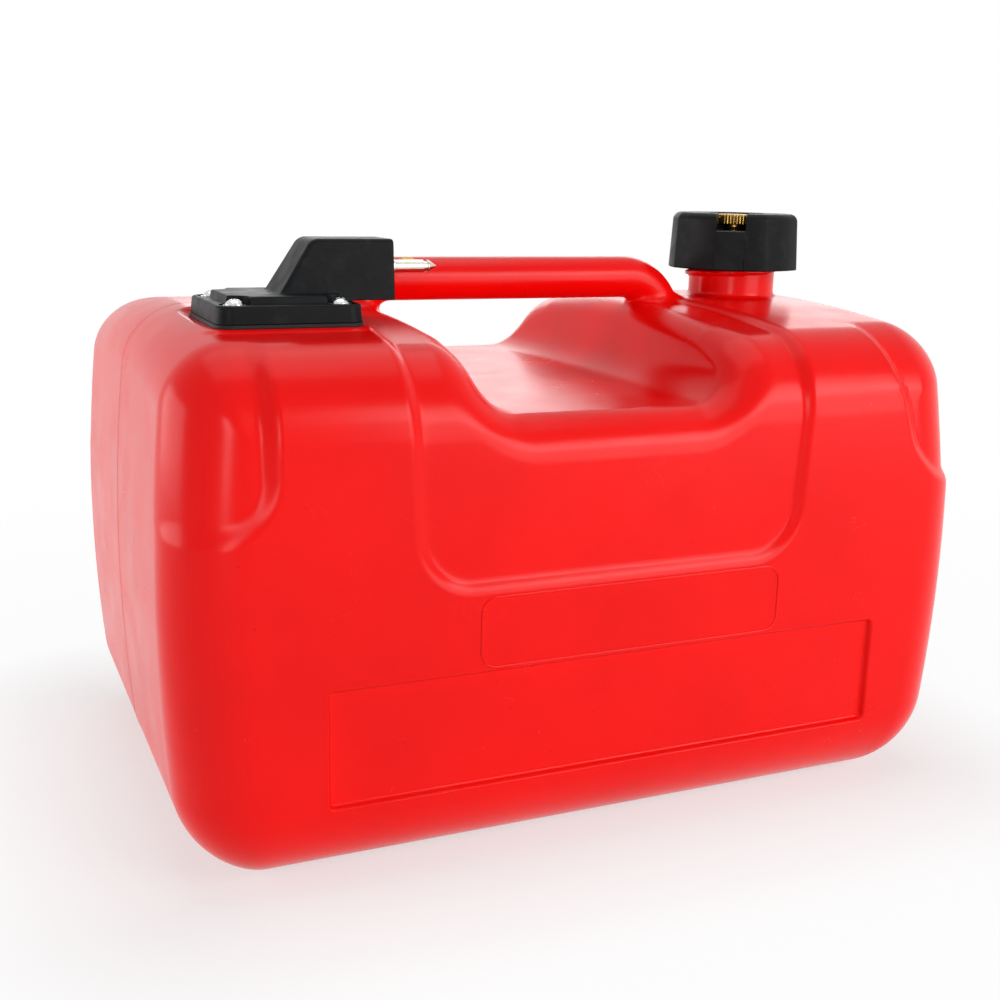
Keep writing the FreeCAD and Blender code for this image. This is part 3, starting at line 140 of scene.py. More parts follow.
# handle; its bends: side, where the grip ends, bend radius, turn
HANDLE_Z, HANDLE_RADIUS, HANDLE_ROOT, HANDLE_FILLET = 218.1, 9.2, 12.0, 5.0
GRIP_START_X = -10.0
HANDLE_BENDS = ((1, 60.0, 22.0, radians(62.0)), (-1, 54.0, 17.0, radians(78.0)))
# filler neck and its thread
NECK_X, NECK_RADIUS, NECK_BORE = 120.5, 20.3, 17.3
NECK_FOOT_Z, NECK_BORE_Z, NECK_TOP_Z = 190.0, 198.0, 235.0
NECK_FILLET, NECK_RIM = 2.6, 0.6
THREAD_Z, THREAD_PITCH, THREAD_LAPS, THREAD_DEPTH = 217.0, 6.0, 2.25, 2.0
THREAD_HALF_CREST, THREAD_FLANK, THREAD_FLANK_SCALE = 0.75, 0.375, 0.93
THREAD_ROOT, THREAD_FADE, THREAD_STOP = 18.0, 8.0, 40.0
# pickup cover and gasket
FLANGE_Z, FLANGE_TOP_Z, FLANGE_RISE = 207.4, 214.2, 6.8
FLANGE_HALF, FLANGE_CORNER, FLANGE_DRAFT, FLANGE_EDGE = 28.0, 6.0, 0.6, 1.1
PAD_FOOT_Z, PAD_TOP_Z, PAD_HALF, PAD_CORNER = 210.0, 217.0, 22.0, 1.8
PAD_DRAFT, PAD_EDGE, PAD_FILLET = 0.2, 0.7, 0.5
SCREW_SPACING, POCKET_RADIUS, POCKET_Z, POCKET_EDGE = 20.0, 5.6, 213.2, 0.35
GASKET_HALF, GASKET_CORNER, GASKET_EDGE = 28.3, 6.4, 0.35
GASKET_FLARE, GASKET_FLARE_RISE = 0.5, 0.45
SCREWS = [(PICKUP[0] + sx * SCREW_SPACING, PICKUP[1] + sy * SCREW_SPACING)
          for sx in (-1, 1) for sy in (-1, 1)]
# hood over the fitting
HOOD_TOP_Z, HOOD_HALF, HOOD_DRAFT, HOOD_WALL = 237.5, 13.0, 2.0, 2.0
HOOD_BACK_LOW_X, HOOD_BACK_TOP_X, HOOD_END_X = -117.5, -104.5, -72.0
HOOD_EDGE, HOOD_EDGE_INSIDE, HOOD_BACK_EDGE_MORE = 1.7, 0.3, 0.6
HOOD_END_EDGE, HOOD_FILLET, HOOD_RIM, HOOD_MOUTH = 0.9, 0.7, 0.25, 5.0
SILL_X, SILL_Z, HOOD_FOOT_Z = -96.0, 214.4, 215.5
# filler cap
CAP_Z, CAP_TOP_Z, CAP_HEIGHT = 222.1, 248.0, 25.9
CAP_SIDES, CAP_RADIUS, CAP_SIDE_DIP, CAP_DRAFT, CAP_TOP_EDGE = 8, 31.3, 0.9, 1.3, 3.4
CAP_BORE, CAP_BORE_Z, CAP_ROOM, CAP_ROOM_Z, CAP_BORE_FOOT_Z = 22.6, 234.7, 21.8, 237.0, 215.0
WELL_Z, WELL_RADIUS, NOTCH_HALF, VENT_HOLE = 240.0, 14.0, 6.75, 5.0
CAP_LINE, CAP_LINE_HALF, CAP_LINE_FROM, CAP_LINE_DEPTH = 6.4, 0.22, 20.0, 0.3
CAP_FOOT_EDGE, CAP_BORE_EDGE, WELL_EDGE, NOTCH_EDGE = 0.5, 0.3, 0.7, 0.6
NOTCH_ANGLE = radians(-126.5)
CAP_RIDGE_ANGLE = NOTCH_ANGLE + radians(32.5)
# vent screw: radius, middle height and half length of each stretch
VENT_HEAD, VENT_COLLAR, VENT_SHANK = (8.5, 245.0, 2.4), (5.0, 242.1, 0.7), (3.0, 236.0, 7.1)
KNURL_DEPTH, KNURL_WAVES, VENT_SLOT_HALF, VENT_SLOT_Z = 0.32, 15.0, 0.8, 245.9
VENT_HEAD_EDGE = 0.45
# connector stem, from its cone to its root in the hood
STEM_Y, STEM_Z, STEM_RADIUS = -50.0, 226.7, 2.55
STEM_TIP_X, STEM_CONE_X, STEM_SHAFT_X, FITTING_ROOT_X = -51.7, -55.9, -55.6, -83.0
STEM_CONE_RISE, STEM_TIP_RADIUS = 3.9, 2.5
STEM_COLLAR_X, STEM_COLLAR_RADIUS, STEM_COLLAR_HALF = -71.0, 3.3, 1.0
STEM_GROOVE_X, STEM_GROOVE_RADIUS, STEM_GROOVE_HALF = -56.8, 1.9, 0.8
STEM_FILLET, STEM_GROOVE_EDGE = 0.2, 0.12
# latch pin beside it
PIN_Y, PIN_RADIUS, PIN_TIP_X, PIN_END_X, PIN_NOSE_RADIUS = -40.4, 3.0, -58.0, -72.0, 2.1
PIN_SHANK_RADIUS, PIN_SHANK_X = 1.9, -71.0
PIN_NOTCH_X, PIN_NOTCH_HALF, PIN_NOTCH_Z = -65.0, 1.6, 227.9
# cover screws, about their own axis
SCREW_Z, DOME_RADIUS, DOME_DROP, SCREW_HEAD_RADIUS = 214.0, 3.967, 1.667, 3.6
CROSS_HALF, CROSS_REACH, CROSS_Z, CROSS_SLOPE = 0.45, 1.8, 1.0, 0.35
SCREW_SHANK_RADIUS, SCREW_SHANK_TOP, SCREW_SHANK_END = 2.0, 0.5, -15.0
SCREW_HEAD_EDGE, CROSS_EDGE = 0.3, 0.1
# rounding of the metal pieces' sharp edges, and the slope of a 45 degree chamfer
SMALL_EDGE, DIAGONAL = 0.15, 0.7071


# -------- distance fields
def round_meet(a, b, radius):
    """What lies in both a and b, with the edge between them rounded."""
    corner = np.hypot(np.maximum(radius + a, 0), np.maximum(radius + b, 0))
    return np.minimum(-radius, np.maximum(a, b)) + corner


def round_join(a, b, radius):
    """What lies in a or b, with a hollow fillet between them."""
    corner = np.hypot(np.maximum(radius - a, 0), np.maximum(radius - b, 0))
    return np.maximum(radius, np.minimum(a, b)) - corner


def rounded_field(u, v, half_u, half_v, corner):
    """Distance to a rounded rectangle."""
    a = np.abs(u) - half_u + corner
    b = np.abs(v) - half_v + corner
    return np.hypot(np.maximum(a, 0), np.maximum(b, 0)) + np.minimum(np.maximum(a, b), 0) - corner


def ramp(distance, width):
    """1 inside a field's outline, 0 outside it, with a soft slope of that width."""
    share = np.clip(0.5 - distance / width, 0, 1)
    return share * share * (3 - 2 * share)


def segment(u, v, start, end):
    """Distance from points to a straight stretch in a plane."""
    du, dv = end[0] - start[0], end[1] - start[1]
    share = np.clip(((u - start[0]) * du + (v - start[1]) * dv) / (du * du + dv * dv), 0, 1)
    return np.hypot(u - start[0] - share * du, v - start[1] - share * dv)


def rod(radius, along, stretch):
    """Round stretch of a turned piece: its radius, middle and half length."""
    return np.maximum(radius - stretch[0], np.abs(along - stretch[1]) - stretch[2])


def handle_distance(x, z, side, start_x, bend, turn):
    """Distance in the XZ plane to one end of the handle's axis: half the grip, bend and leg."""
    across = x * side
    centre_z = HANDLE_Z - bend
    angle = np.arctan2(across - start_x, z - centre_z)
    arc = np.abs(np.hypot(across - start_x, z - centre_z) - bend)
    arc = np.where((angle >= 0) & (angle <= turn), arc, FAR)
    foot = (start_x + bend * sin(turn), centre_z + bend * cos(turn))
    leg_end = (foot[0] + HANDLE_ROOT * cos(turn), foot[1] - HANDLE_ROOT * sin(turn))
    grip = segment(across, z, (GRIP_START_X, HANDLE_Z), (start_x, HANDLE_Z))
    return np.minimum(np.minimum(arc, grip), segment(across, z, foot, leg_end))


def tank_field(sizes):
    """The whole blow moulding: body, saddle, hand hollow, corner reliefs, handle, seat and neck."""
    half_x = sizes.length / MM / 2
    half_y = sizes.width / MM / 2
    top_z = sizes.height / MM
    seam = sizes.seam / MM
    lean = (SADDLE_HALF_TOP - SADDLE_HALF_LOW) / (top_z - SADDLE_LOW_Z)

    def field(x, y, z):
        across = np.abs(y)
        along = np.abs(x)
        face = across - half_y
        pickup_end = x < 0
        crown = z - (top_z - y * y / CROWN)
        # both ends swell about half the height
        short = np.where(pickup_end, PICKUP_END_SHORT, 0.0)
        bulge = END_SWELL - short
        end_radius = top_z ** 2 / (8 * bulge) + bulge / 2
        end = np.hypot(along - (half_x - short - end_radius), z - top_z / 2) - end_radius + seam
        # the body without its saddle, with a panel sunk in front and back
        panel = rounded_field(x - PANEL_X, z - PANEL_Z, PANEL_HALF_X, PANEL_HALF_Z, PANEL_CORNER)
        depth = face + PANEL_SINK * ramp(panel, PANEL_SLOPE)
        plain = round_meet(round_meet(end, crown, TOP_EDGE), depth, FACE_EDGE)
        plain = round_meet(plain, -z, BASE_EDGE)
        # the body as low as the saddle all over, with the hand hollow cut through it
        wall = (along - HOLLOW_HALF) * cos(HOLLOW_DRAFT) - (z - HOLLOW_FLOOR_Z) * sin(HOLLOW_DRAFT)
        hollow = round_meet(wall, HOLLOW_FLOOR_Z - z, HOLLOW_CORNER)
        block = round_meet(end, crown + SADDLE_SINK, TOP_EDGE)
        block = round_meet(block, face + SADDLE_SINK, FACE_EDGE)
        near_face = np.clip((across - HOLLOW_EDGE_FROM) / HOLLOW_EDGE_RUN, 0, 1)
        block = round_meet(block, -hollow, HOLLOW_EDGE + HOLLOW_EDGE_MORE * near_face)
        # the one where the saddle is, the other beyond it, and a soft step between them
        beside = (along - SADDLE_HALF_LOW - lean * (z - SADDLE_LOW_Z)) / hypot(1, lean)
        saddle = round_meet(beside, SADDLE_LOW_Z - z, SADDLE_CORNER)
        beyond = (saddle + np.hypot(saddle, SADDLE_LIP)) / 2
        body = plain + np.maximum(block - plain, 0) * np.clip(1 - beyond / SADDLE_STEP, 0, 1) ** 2
        # corner reliefs lean back and run out on top and ends
        end_sink = np.clip((across - RELIEF_END_FROM) / RELIEF_END_RUN, 0, 1)
        end_sink = np.where(pickup_end, *RELIEF_END_SINK) * end_sink
        narrow = round_meet(end + end_sink, crown, TOP_EDGE)
        lean_back = np.where(pickup_end, *RELIEF_LEAN_BACK) * np.maximum(z - RELIEF_LOW_Z, 0)
        narrow = round_meet(narrow, face + (RELIEF_SINK + lean_back), FACE_EDGE)
        inner_x = np.where(pickup_end, RELIEF_INNER_X[0],
                           RELIEF_INNER_X[1] - RELIEF_INNER_LEAN * (z - RELIEF_INNER_Z))
        relief = round_meet(inner_x - along, RELIEF_LOW_Z - z, RELIEF_CORNER)
        step = ramp(relief, np.where(pickup_end, *RELIEF_STEP))
        body = body + np.maximum(narrow - body, 0) * step
        # flat seat of the pickup cover
        seat = rounded_field(x - PICKUP[0], y - PICKUP[1], SEAT_HALF, SEAT_HALF, SEAT_CORNER)
        seat = ramp(seat, SEAT_SLOPE) * (z > SEAT_Z - SEAT_REACH)
        body = body + (np.maximum(body - SEAT_CUT, z - SEAT_Z) - body) * seat
        # handle and neck grow out of the shoulders
        handle = np.minimum(*[handle_distance(x, z, *bend) for bend in HANDLE_BENDS])
        body = round_join(body, np.hypot(handle, y) - HANDLE_RADIUS, HANDLE_FILLET)
        radius = np.hypot(x - NECK_X, y)
        body = with_neck(body, radius, np.arctan2(y, x - NECK_X) / (2 * pi), z)
        # parting line of the two mould halves
        line = np.clip(1.0 - across / SEAM_WIDTH, 0, 1)
        line = line * np.clip((z - SEAM_LOW_Z) / SEAM_FADE, 0, 1)
        return body - seam * line * (radius > SEAM_NECK_RADIUS)

    return field


def with_neck(body, radius, turn, z):
    """The body with the filler neck on it: its thread laps, rim and bore."""
    neck = np.maximum(radius - NECK_RADIUS, NECK_FOOT_Z - z)
    body = np.maximum(round_join(body, neck, NECK_FILLET), z - NECK_TOP_Z)
    for lap in range(4):
        share = turn + lap
        fade = np.clip(np.minimum(share, THREAD_LAPS - share) * THREAD_FADE, 0, 1)
        rise = np.abs(z - THREAD_Z - THREAD_PITCH * share)
        flank = THREAD_FLANK * (NECK_RADIUS + THREAD_DEPTH - radius)
        flank = (rise - THREAD_HALF_CREST - flank) * THREAD_FLANK_SCALE
        ridge = np.maximum(radius - NECK_RADIUS - THREAD_DEPTH * fade, flank)
        ridge = np.maximum(ridge, -share * THREAD_STOP)
        ridge = np.maximum(ridge, (share - THREAD_LAPS) * THREAD_STOP)
        body = np.minimum(body, np.maximum(ridge, THREAD_ROOT - radius))
    bore = np.maximum(radius - NECK_BORE, NECK_BORE_Z - z)
    return round_meet(body, -bore, NECK_RIM)


def cover_field(x, y, z):
    """Pickup cover: flange, raised pad with screw pockets, hood with its open end."""
    u, v = x - PICKUP[0], y - PICKUP[1]
    half = FLANGE_HALF - FLANGE_DRAFT * (z - FLANGE_Z) / FLANGE_RISE
    flange = rounded_field(u, v, half, half, FLANGE_CORNER)
    flange = np.maximum(round_meet(flange, z - FLANGE_TOP_Z, FLANGE_EDGE), FLANGE_Z - z)
    half = PAD_HALF - PAD_DRAFT * (z - FLANGE_TOP_Z)
    pad = rounded_field(u, v, half, half, PAD_CORNER)
    pad = np.maximum(round_meet(pad, z - PAD_TOP_Z, PAD_EDGE), PAD_FOOT_Z - z)
    body = round_join(flange, pad, PAD_FILLET)
    for screw_x, screw_y in SCREWS:
        pocket = np.hypot(x - screw_x, y - screw_y) - POCKET_RADIUS
        body = round_meet(body, -np.maximum(pocket, POCKET_Z - z), POCKET_EDGE)
    body = round_join(body, hood_field(x, y, z, 0.0), HOOD_FILLET)
    inside = np.maximum(hood_field(x, y, z, HOOD_WALL), PAD_TOP_Z - z)
    return round_meet(body, -inside, HOOD_RIM)


def hood_field(x, y, z, inset):
    """Hood with slanted back, drafted sides and a sill that stands out over the shoulder."""
    rise = HOOD_TOP_Z - PAD_TOP_Z
    lean = (HOOD_BACK_TOP_X - HOOD_BACK_LOW_X) / rise
    draft = HOOD_DRAFT / rise
    beside = np.abs(y - PICKUP[1])
    back = (HOOD_BACK_LOW_X + lean * (z - PAD_TOP_Z) - x) / hypot(1, lean) + inset
    side = (beside - HOOD_HALF + draft * (z - PAD_TOP_Z)) / hypot(1, draft) + inset
    edge = max(HOOD_EDGE - inset, HOOD_EDGE_INSIDE)
    shape = round_meet(back, z - HOOD_TOP_Z + inset, edge + HOOD_BACK_EDGE_MORE)
    shape = round_meet(shape, side, edge)
    if inset:
        # the space inside runs out through the open end
        return np.maximum(shape, x - HOOD_END_X - HOOD_MOUTH)
    foot = np.where(x > SILL_X, SILL_Z, HOOD_FOOT_Z)
    return np.maximum(round_meet(shape, x - HOOD_END_X, HOOD_END_EDGE), foot - z)


def gasket_field(x, y, z):
    """Rubber gasket whose lip flares out at the foot."""
    flare = GASKET_FLARE * np.exp(-np.maximum(z - SEAT_Z, 0) / GASKET_FLARE_RISE)
    half = GASKET_HALF + flare
    outline = rounded_field(x - PICKUP[0], y - PICKUP[1], half, half, GASKET_CORNER + flare)
    return np.maximum(round_meet(outline, z - FLANGE_Z, GASKET_EDGE), SEAT_Z - z)


def cap_radius(angle):
    """Outline of the cap: slightly swollen sides that meet in upright ridges."""
    pitch = 2 * pi / CAP_SIDES
    offset = np.mod(angle - CAP_RIDGE_ANGLE, pitch) - pitch / 2
    return CAP_RADIUS - CAP_SIDE_DIP * (1 - (offset / (pitch / 2)) ** 2)


def cap_field(x, y, z):
    """Screw cap with ridged skirt, a well for the vent screw and a finger notch."""
    u, v = x - NECK_X, y
    radius = np.hypot(u, v)
    outer = radius - cap_radius(np.arctan2(v, u)) + CAP_DRAFT * (z - CAP_Z) / CAP_HEIGHT
    body = round_meet(outer, z - CAP_TOP_Z, CAP_TOP_EDGE)
    body = round_meet(body, CAP_Z - z, CAP_FOOT_EDGE)
    # thread bore, and the gasket's seat above it
    bore = np.maximum(np.maximum(radius - CAP_BORE, z - CAP_BORE_Z), CAP_BORE_FOOT_Z - z)
    room = np.maximum(np.maximum(radius - CAP_ROOM, z - CAP_ROOM_Z), CAP_BORE_FOOT_Z - z)
    body = round_meet(body, -np.minimum(bore, room), CAP_BORE_EDGE)
    # well, notch and hole of the vent screw
    along = u * cos(NOTCH_ANGLE) + v * sin(NOTCH_ANGLE)
    beside = -u * sin(NOTCH_ANGLE) + v * cos(NOTCH_ANGLE)
    well = np.maximum(radius - WELL_RADIUS, WELL_Z - z)
    body = round_meet(body, -well, WELL_EDGE)
    notch = np.maximum(np.maximum(np.abs(beside) - NOTCH_HALF, WELL_Z - z), -along)
    body = round_meet(body, -notch, NOTCH_EDGE)
    body = np.maximum(body, VENT_HOLE - radius)
    # fine moulded line down the skirt beside the notch
    line = np.maximum(np.abs(beside - CAP_LINE) - CAP_LINE_HALF, CAP_LINE_FROM - along)
    return np.maximum(body, -np.maximum(line, -(outer + CAP_LINE_DEPTH)))


def vent_field(x, y, z):
    """Knurled head of the vent screw with its slot, collar and shank."""
    u, v = x - NECK_X, y
    radius = np.hypot(u, v)
    knurl = KNURL_DEPTH * np.abs(np.sin(np.arctan2(v, u) * KNURL_WAVES))
    head = round_meet(radius - VENT_HEAD[0] + KNURL_DEPTH - knurl,
                      np.abs(z - VENT_HEAD[1]) - VENT_HEAD[2], VENT_HEAD_EDGE)
    body = np.minimum(np.minimum(head, rod(radius, z, VENT_COLLAR)), rod(radius, z, VENT_SHANK))
    slot = np.maximum(np.abs(v) - VENT_SLOT_HALF, VENT_SLOT_Z - z)
    return round_meet(body, -slot, SMALL_EDGE)


def stem_field(x, y, z):
    """Pointed snap-connector stem with its collar, latch groove and cone."""
    radius = np.hypot(y - STEM_Y, z - STEM_Z)
    shaft = np.maximum(radius - STEM_RADIUS, np.maximum(x - STEM_SHAFT_X, FITTING_ROOT_X - x))
    collar = rod(radius, x, (STEM_COLLAR_RADIUS, STEM_COLLAR_X, STEM_COLLAR_HALF))
    groove = np.maximum(np.abs(x - STEM_GROOVE_X) - STEM_GROOVE_HALF, STEM_GROOVE_RADIUS - radius)
    body = round_meet(round_join(shaft, collar, STEM_FILLET), -groove, STEM_GROOVE_EDGE)
    slope = STEM_RADIUS / STEM_CONE_RISE
    cone = (radius - slope * (STEM_TIP_X - x)) / hypot(1, slope)
    cone = np.maximum(cone, STEM_CONE_X - x)
    return np.minimum(body, round_meet(cone, radius - STEM_TIP_RADIUS, SMALL_EDGE))


def pin_field(x, y, z):
    """Brass latch pin with its notch and chamfered nose."""
    radius = np.hypot(y - PIN_Y, z - STEM_Z)
    body = np.maximum(x - PIN_TIP_X, PIN_END_X - x)
    body = round_meet(radius - PIN_RADIUS, body, SMALL_EDGE)
    body = np.maximum(body, (radius + x - PIN_TIP_X - PIN_NOSE_RADIUS) * DIAGONAL)
    shank = np.maximum(x - PIN_SHANK_X, FITTING_ROOT_X - x)
    shank = np.maximum(radius - PIN_SHANK_RADIUS, shank)
    notch = np.maximum(np.abs(x - PIN_NOTCH_X) - PIN_NOTCH_HALF, PIN_NOTCH_Z - z)
    return round_meet(np.minimum(body, shank), -notch, SMALL_EDGE)


def screw_field(x, y, z):
    """Pan-head screw about its own axis, head upwards, with a cross recess."""
    radius = np.hypot(x, y)
    dome = np.sqrt(radius * radius + (z + DOME_DROP) ** 2) - DOME_RADIUS
    head = np.maximum(round_meet(dome, radius - SCREW_HEAD_RADIUS, SCREW_HEAD_EDGE), -z)
    wide, deep = np.abs(x), np.abs(y)
    floor_z = CROSS_Z + CROSS_SLOPE * np.maximum(wide, deep)
    cross = np.minimum(np.maximum(wide - CROSS_HALF, deep - CROSS_REACH),
                       np.maximum(deep - CROSS_HALF, wide - CROSS_REACH))
    head = round_meet(head, -np.maximum(cross, floor_z - z), CROSS_EDGE)
    shank = np.maximum(z - SCREW_SHANK_TOP, SCREW_SHANK_END - z)
    return np.minimum(head, np.maximum(radius - SCREW_SHANK_RADIUS, shank))


# -------- from field to mesh
CUBE = [(i, j, k) for i in (0, 1) for j in (0, 1) for k in (0, 1)]
DRAW_STEPS = 3                 # how often points are drawn onto the true surface
FLATTEST = 0.04                # lowest squared gradient that a point is moved by


def grid_line(low, high, step, bands=(), shift=0.0):
    """Places along one axis, closer together inside the bands (low, high, step)."""
    start = (floor(low / step) - 1 + shift) * step
    line = np.arange(start, high + 2 * step, step)
    for band_low, band_high, band_step in bands:
        fine = np.arange(band_low, band_high + band_step / 2, band_step)
        line = line[(line < band_low - step / 3) | (line > band_high + step / 3)]
        line = np.sort(np.concatenate([line, fine]))
    return line


def lines_in(box, *steps):
    """Grid lines over a box in metres, with one spacing in millimetres or one for each axis."""
    low, high = box
    steps = steps if len(steps) == 3 else steps * 3
    return [grid_line(low[axis] / MM, high[axis] / MM, steps[axis]) for axis in range(3)]


def surface_net(field, lines):
    """Points and quads of the surface where a field is zero: one point in each cell it crosses."""
    grid = np.meshgrid(*lines, indexing="ij", sparse=True)
    value = np.broadcast_to(field(*grid), [len(line) for line in lines]).astype(np.float32)
    inside = value < 0
    cells = [size - 1 for size in value.shape]

    def corner(array, offset):
        i, j, k = offset
        return array[i:cells[0] + i, j:cells[1] + j, k:cells[2] + k]

    count = sum(corner(inside, offset).astype(np.int8) for offset in CUBE)
    cell = np.argwhere((count > 0) & (count < 8))
    number = np.full(cells, -1, dtype=np.int64)
    number[tuple(cell.T)] = np.arange(len(cell))
    points = np.zeros((len(cell), 3))
    crossings = np.zeros(len(cell))
    for start in CUBE:
        for axis in range(3):
            if start[axis]:
                continue
            end = tuple(1 if other == axis else start[other] for other in range(3))
            low = tuple((cell + start).T)
            high = tuple((cell + end).T)
            a, b = value[low].astype(float), value[high].astype(float)
            crossed = (a < 0) != (b < 0)
            share = np.where(crossed, a / np.where(crossed, a - b, 1), 0)
            for other in range(3):
                first = lines[other][low[other]]
                last = lines[other][high[other]]
                points[:, other] += np.where(crossed, first + share * (last - first), 0)
            crossings += crossed
    points /= crossings[:, None]
    quads = []
    for axis in range(3):
        one, two = [other for other in range(3) if other != axis]
        span = [slice(None)] * 3
        span[axis] = slice(0, cells[axis])
        lower = inside[tuple(span)]
        span[axis] = slice(1, cells[axis] + 1)
        upper = inside[tuple(span)]
        edge = np.argwhere(lower != upper)
        keep = (edge[:, one] > 0) & (edge[:, two] > 0)
        keep &= (edge[:, one] < cells[one]) & (edge[:, two] < cells[two])
        edge = edge[keep]
        leaving = lower[tuple(edge.T)]
        ring = []
        for back_one, back_two in ((1, 1), (0, 1), (0, 0), (1, 0)):
            spot = edge.copy()
            spot[:, one] -= back_one
            spot[:, two] -= back_two
            ring.append(number[tuple(spot.T)])
        ring = np.stack(ring, axis=1)
        if axis == 1:
            leaving = ~leaving
        ring[~leaving] = ring[~leaving][:, ::-1]
        quads.append(ring)
    return points, np.concatenate(quads)


def slope_at(field, points, reach):
    """Field and its gradient at points."""
    x, y, z = points.T
    value = field(x, y, z)
    rise = np.stack([
        field(x + reach, y, z) - field(x - reach, y, z),
        field(x, y + reach, z) - field(x, y - reach, z),
        field(x, y, z + reach) - field(x, y, z - reach),
    ], axis=1) / (2 * reach)
    return value, rise


def skin(name, field, lines, reach):
    """Mesh object of a field given in millimetres, its points drawn onto the true surface."""
    points, quads = surface_net(field, lines)
    for _ in range(DRAW_STEPS):
        value, rise = slope_at(field, points, reach / 4)
        steep = np.maximum((rise * rise).sum(axis=1), FLATTEST)
        move = np.clip(value / steep, -reach, reach)[:, None] * rise
        points = points - move
    normals = slope_at(field, points, reach / 3)[1]
    normals /= np.maximum(np.linalg.norm(normals, axis=1), 1e-6)[:, None]
    return mesh_object(name, points * MM, quads, normals)


def mesh_object(name, points, quads, normals=None):
    """Smooth-shaded mesh object in the scene, with its own normals where they are given."""
    mesh = bpy.data.meshes.new(name)
    mesh.vertices.add(len(points))
    mesh.vertices.foreach_set("co", np.asarray(points, dtype=np.float32).ravel())
    mesh.loops.add(quads.size)
    mesh.loops.foreach_set("vertex_index", quads.astype(np.int32).ravel())
    mesh.polygons.add(len(quads))
    starts = np.arange(0, quads.size, quads.shape[1], dtype=np.int32)
    mesh.polygons.foreach_set("loop_start", starts)
    mesh.update(calc_edges=True)
    mesh.shade_smooth()
    if normals is not None:
        mesh.normals_split_custom_set_from_vertices([tuple(normal) for normal in normals])
    mesh.validate()
    piece = bpy.data.objects.new(name, mesh)
    bpy.context.scene.collection.objects.link(piece)
    return piece


def dress(piece, body, slot, material, *nodes):
    """A piece rides on its body, takes its finish and stands for its CAD nodes."""
    piece.data.materials.clear()
    piece.data.materials.append(material)
    if nodes:
        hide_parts(*nodes)
    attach(piece, body)


# -------- finishes
WHITE = (1, 1, 1, 1)
LATHE_STRETCH = 12.0           # lathe lines are drawn from noise that is squeezed by this


def add(tree, kind, inputs=None, **settings):
    """Adds a shader node with its settings, values and links; a node gives its first output."""
    node = tree.nodes.new("ShaderNode" + kind)
    for name, value in settings.items():
        setattr(node, name, value)
    for key, value in (inputs or {}).items():
        if isinstance(value, bpy.types.Node):
            value = value.outputs[0]
        if isinstance(value, bpy.types.NodeSocket):
            tree.links.new(value, node.inputs[key])
        else:
            node.inputs[key].default_value = value
    return node


def new_material(name):
    """Empty node material and its tree, with the place on the piece in metres."""
    material = bpy.data.materials.get(name) or bpy.data.materials.new(name)
    material.use_nodes = True
    tree = material.node_tree
    tree.nodes.clear()
    return material, tree, add(tree, "TexCoord").outputs["Object"]


def polyethylene(colour):
    """High-density polyethylene, blow-moulded."""
    # to the eye: satin red with broad, faintly wavy highlights, pale rubs and specks of dust
    material, tree, place = new_material("blow_moulded_polyethylene")
    # the red deepens where the wall is thicker, over about 60 mm
    red = linear(colour)
    deep = (red[0] * 0.93, red[1] * 0.7, red[2] * 0.7, 1.0)
    tone = add(tree, "TexNoise", {"Vector": place, "Scale": 1 / (60.0 * MM), "Detail": 3.0})
    tone = add(tree, "MapRange", {"Value": tone, "From Min": 0.35, "From Max": 0.65})
    hue = add(tree, "Mix", {0: tone, 6: red, 7: deep}, data_type="RGBA").outputs[2]
    # pale rub marks, up to 9 mm, where the tank has been handled
    rub = add(tree, "TexNoise", {
        "Vector": place, "Scale": 1 / (9.0 * MM), "Detail": 8.0, "Roughness": 0.72})
    rub = add(tree, "MapRange", {"Value": rub, "From Min": 0.69, "From Max": 0.76, "To Max": 0.16})
    hue = add(tree, "Mix", {0: rub, 6: hue, 7: linear("FF8078")}, data_type="RGBA").outputs[2]
    # dark specks of dust in the surface, some 11 mm apart and up to 0.6 mm wide
    speck = add(tree, "TexVoronoi", {"Vector": place, "Scale": 1 / (11.0 * MM)})
    speck = add(tree, "MapRange", {
        "Value": speck, "From Min": 0.028, "From Max": 0.02, "To Max": 0.5})
    hue = add(tree, "Mix", {0: speck, 6: hue, 7: linear("7A0806")}, data_type="RGBA").outputs[2]
    # patches of more and less gloss, about 25 mm
    gloss = add(tree, "TexNoise", {
        "Vector": place, "Scale": 1 / (25.0 * MM), "Detail": 5.0, "Roughness": 0.6})
    gloss = add(tree, "MapRange", {
        "Value": gloss, "From Min": 0.3, "From Max": 0.7, "To Min": 0.20, "To Max": 0.28})
    # 38 mm waves left by blowing against a cold mould
    wave = add(tree, "TexNoise", {"Vector": place, "Scale": 1 / (38.0 * MM), "Detail": 1.0})
    wave = add(tree, "Bump", {"Height": wave, "Strength": 0.5, "Distance": 0.35 * MM})
    # grain of the blasted mould wall, drawn at 0.7 mm so that it shows
    grain = add(tree, "TexNoise", {"Vector": place, "Scale": 1 / (0.7 * MM), "Detail": 3.0})
    grain = add(tree, "Bump", {
        "Height": grain, "Strength": 0.25, "Distance": 0.04 * MM, "Normal": wave})
    shader = add(tree, "BsdfPrincipled", {
        "Base Color": hue, "Roughness": gloss, "Normal": grain, "IOR": 1.54,
        "Specular IOR Level": 0.17})
    add(tree, "OutputMaterial", {"Surface": shader})
    return material


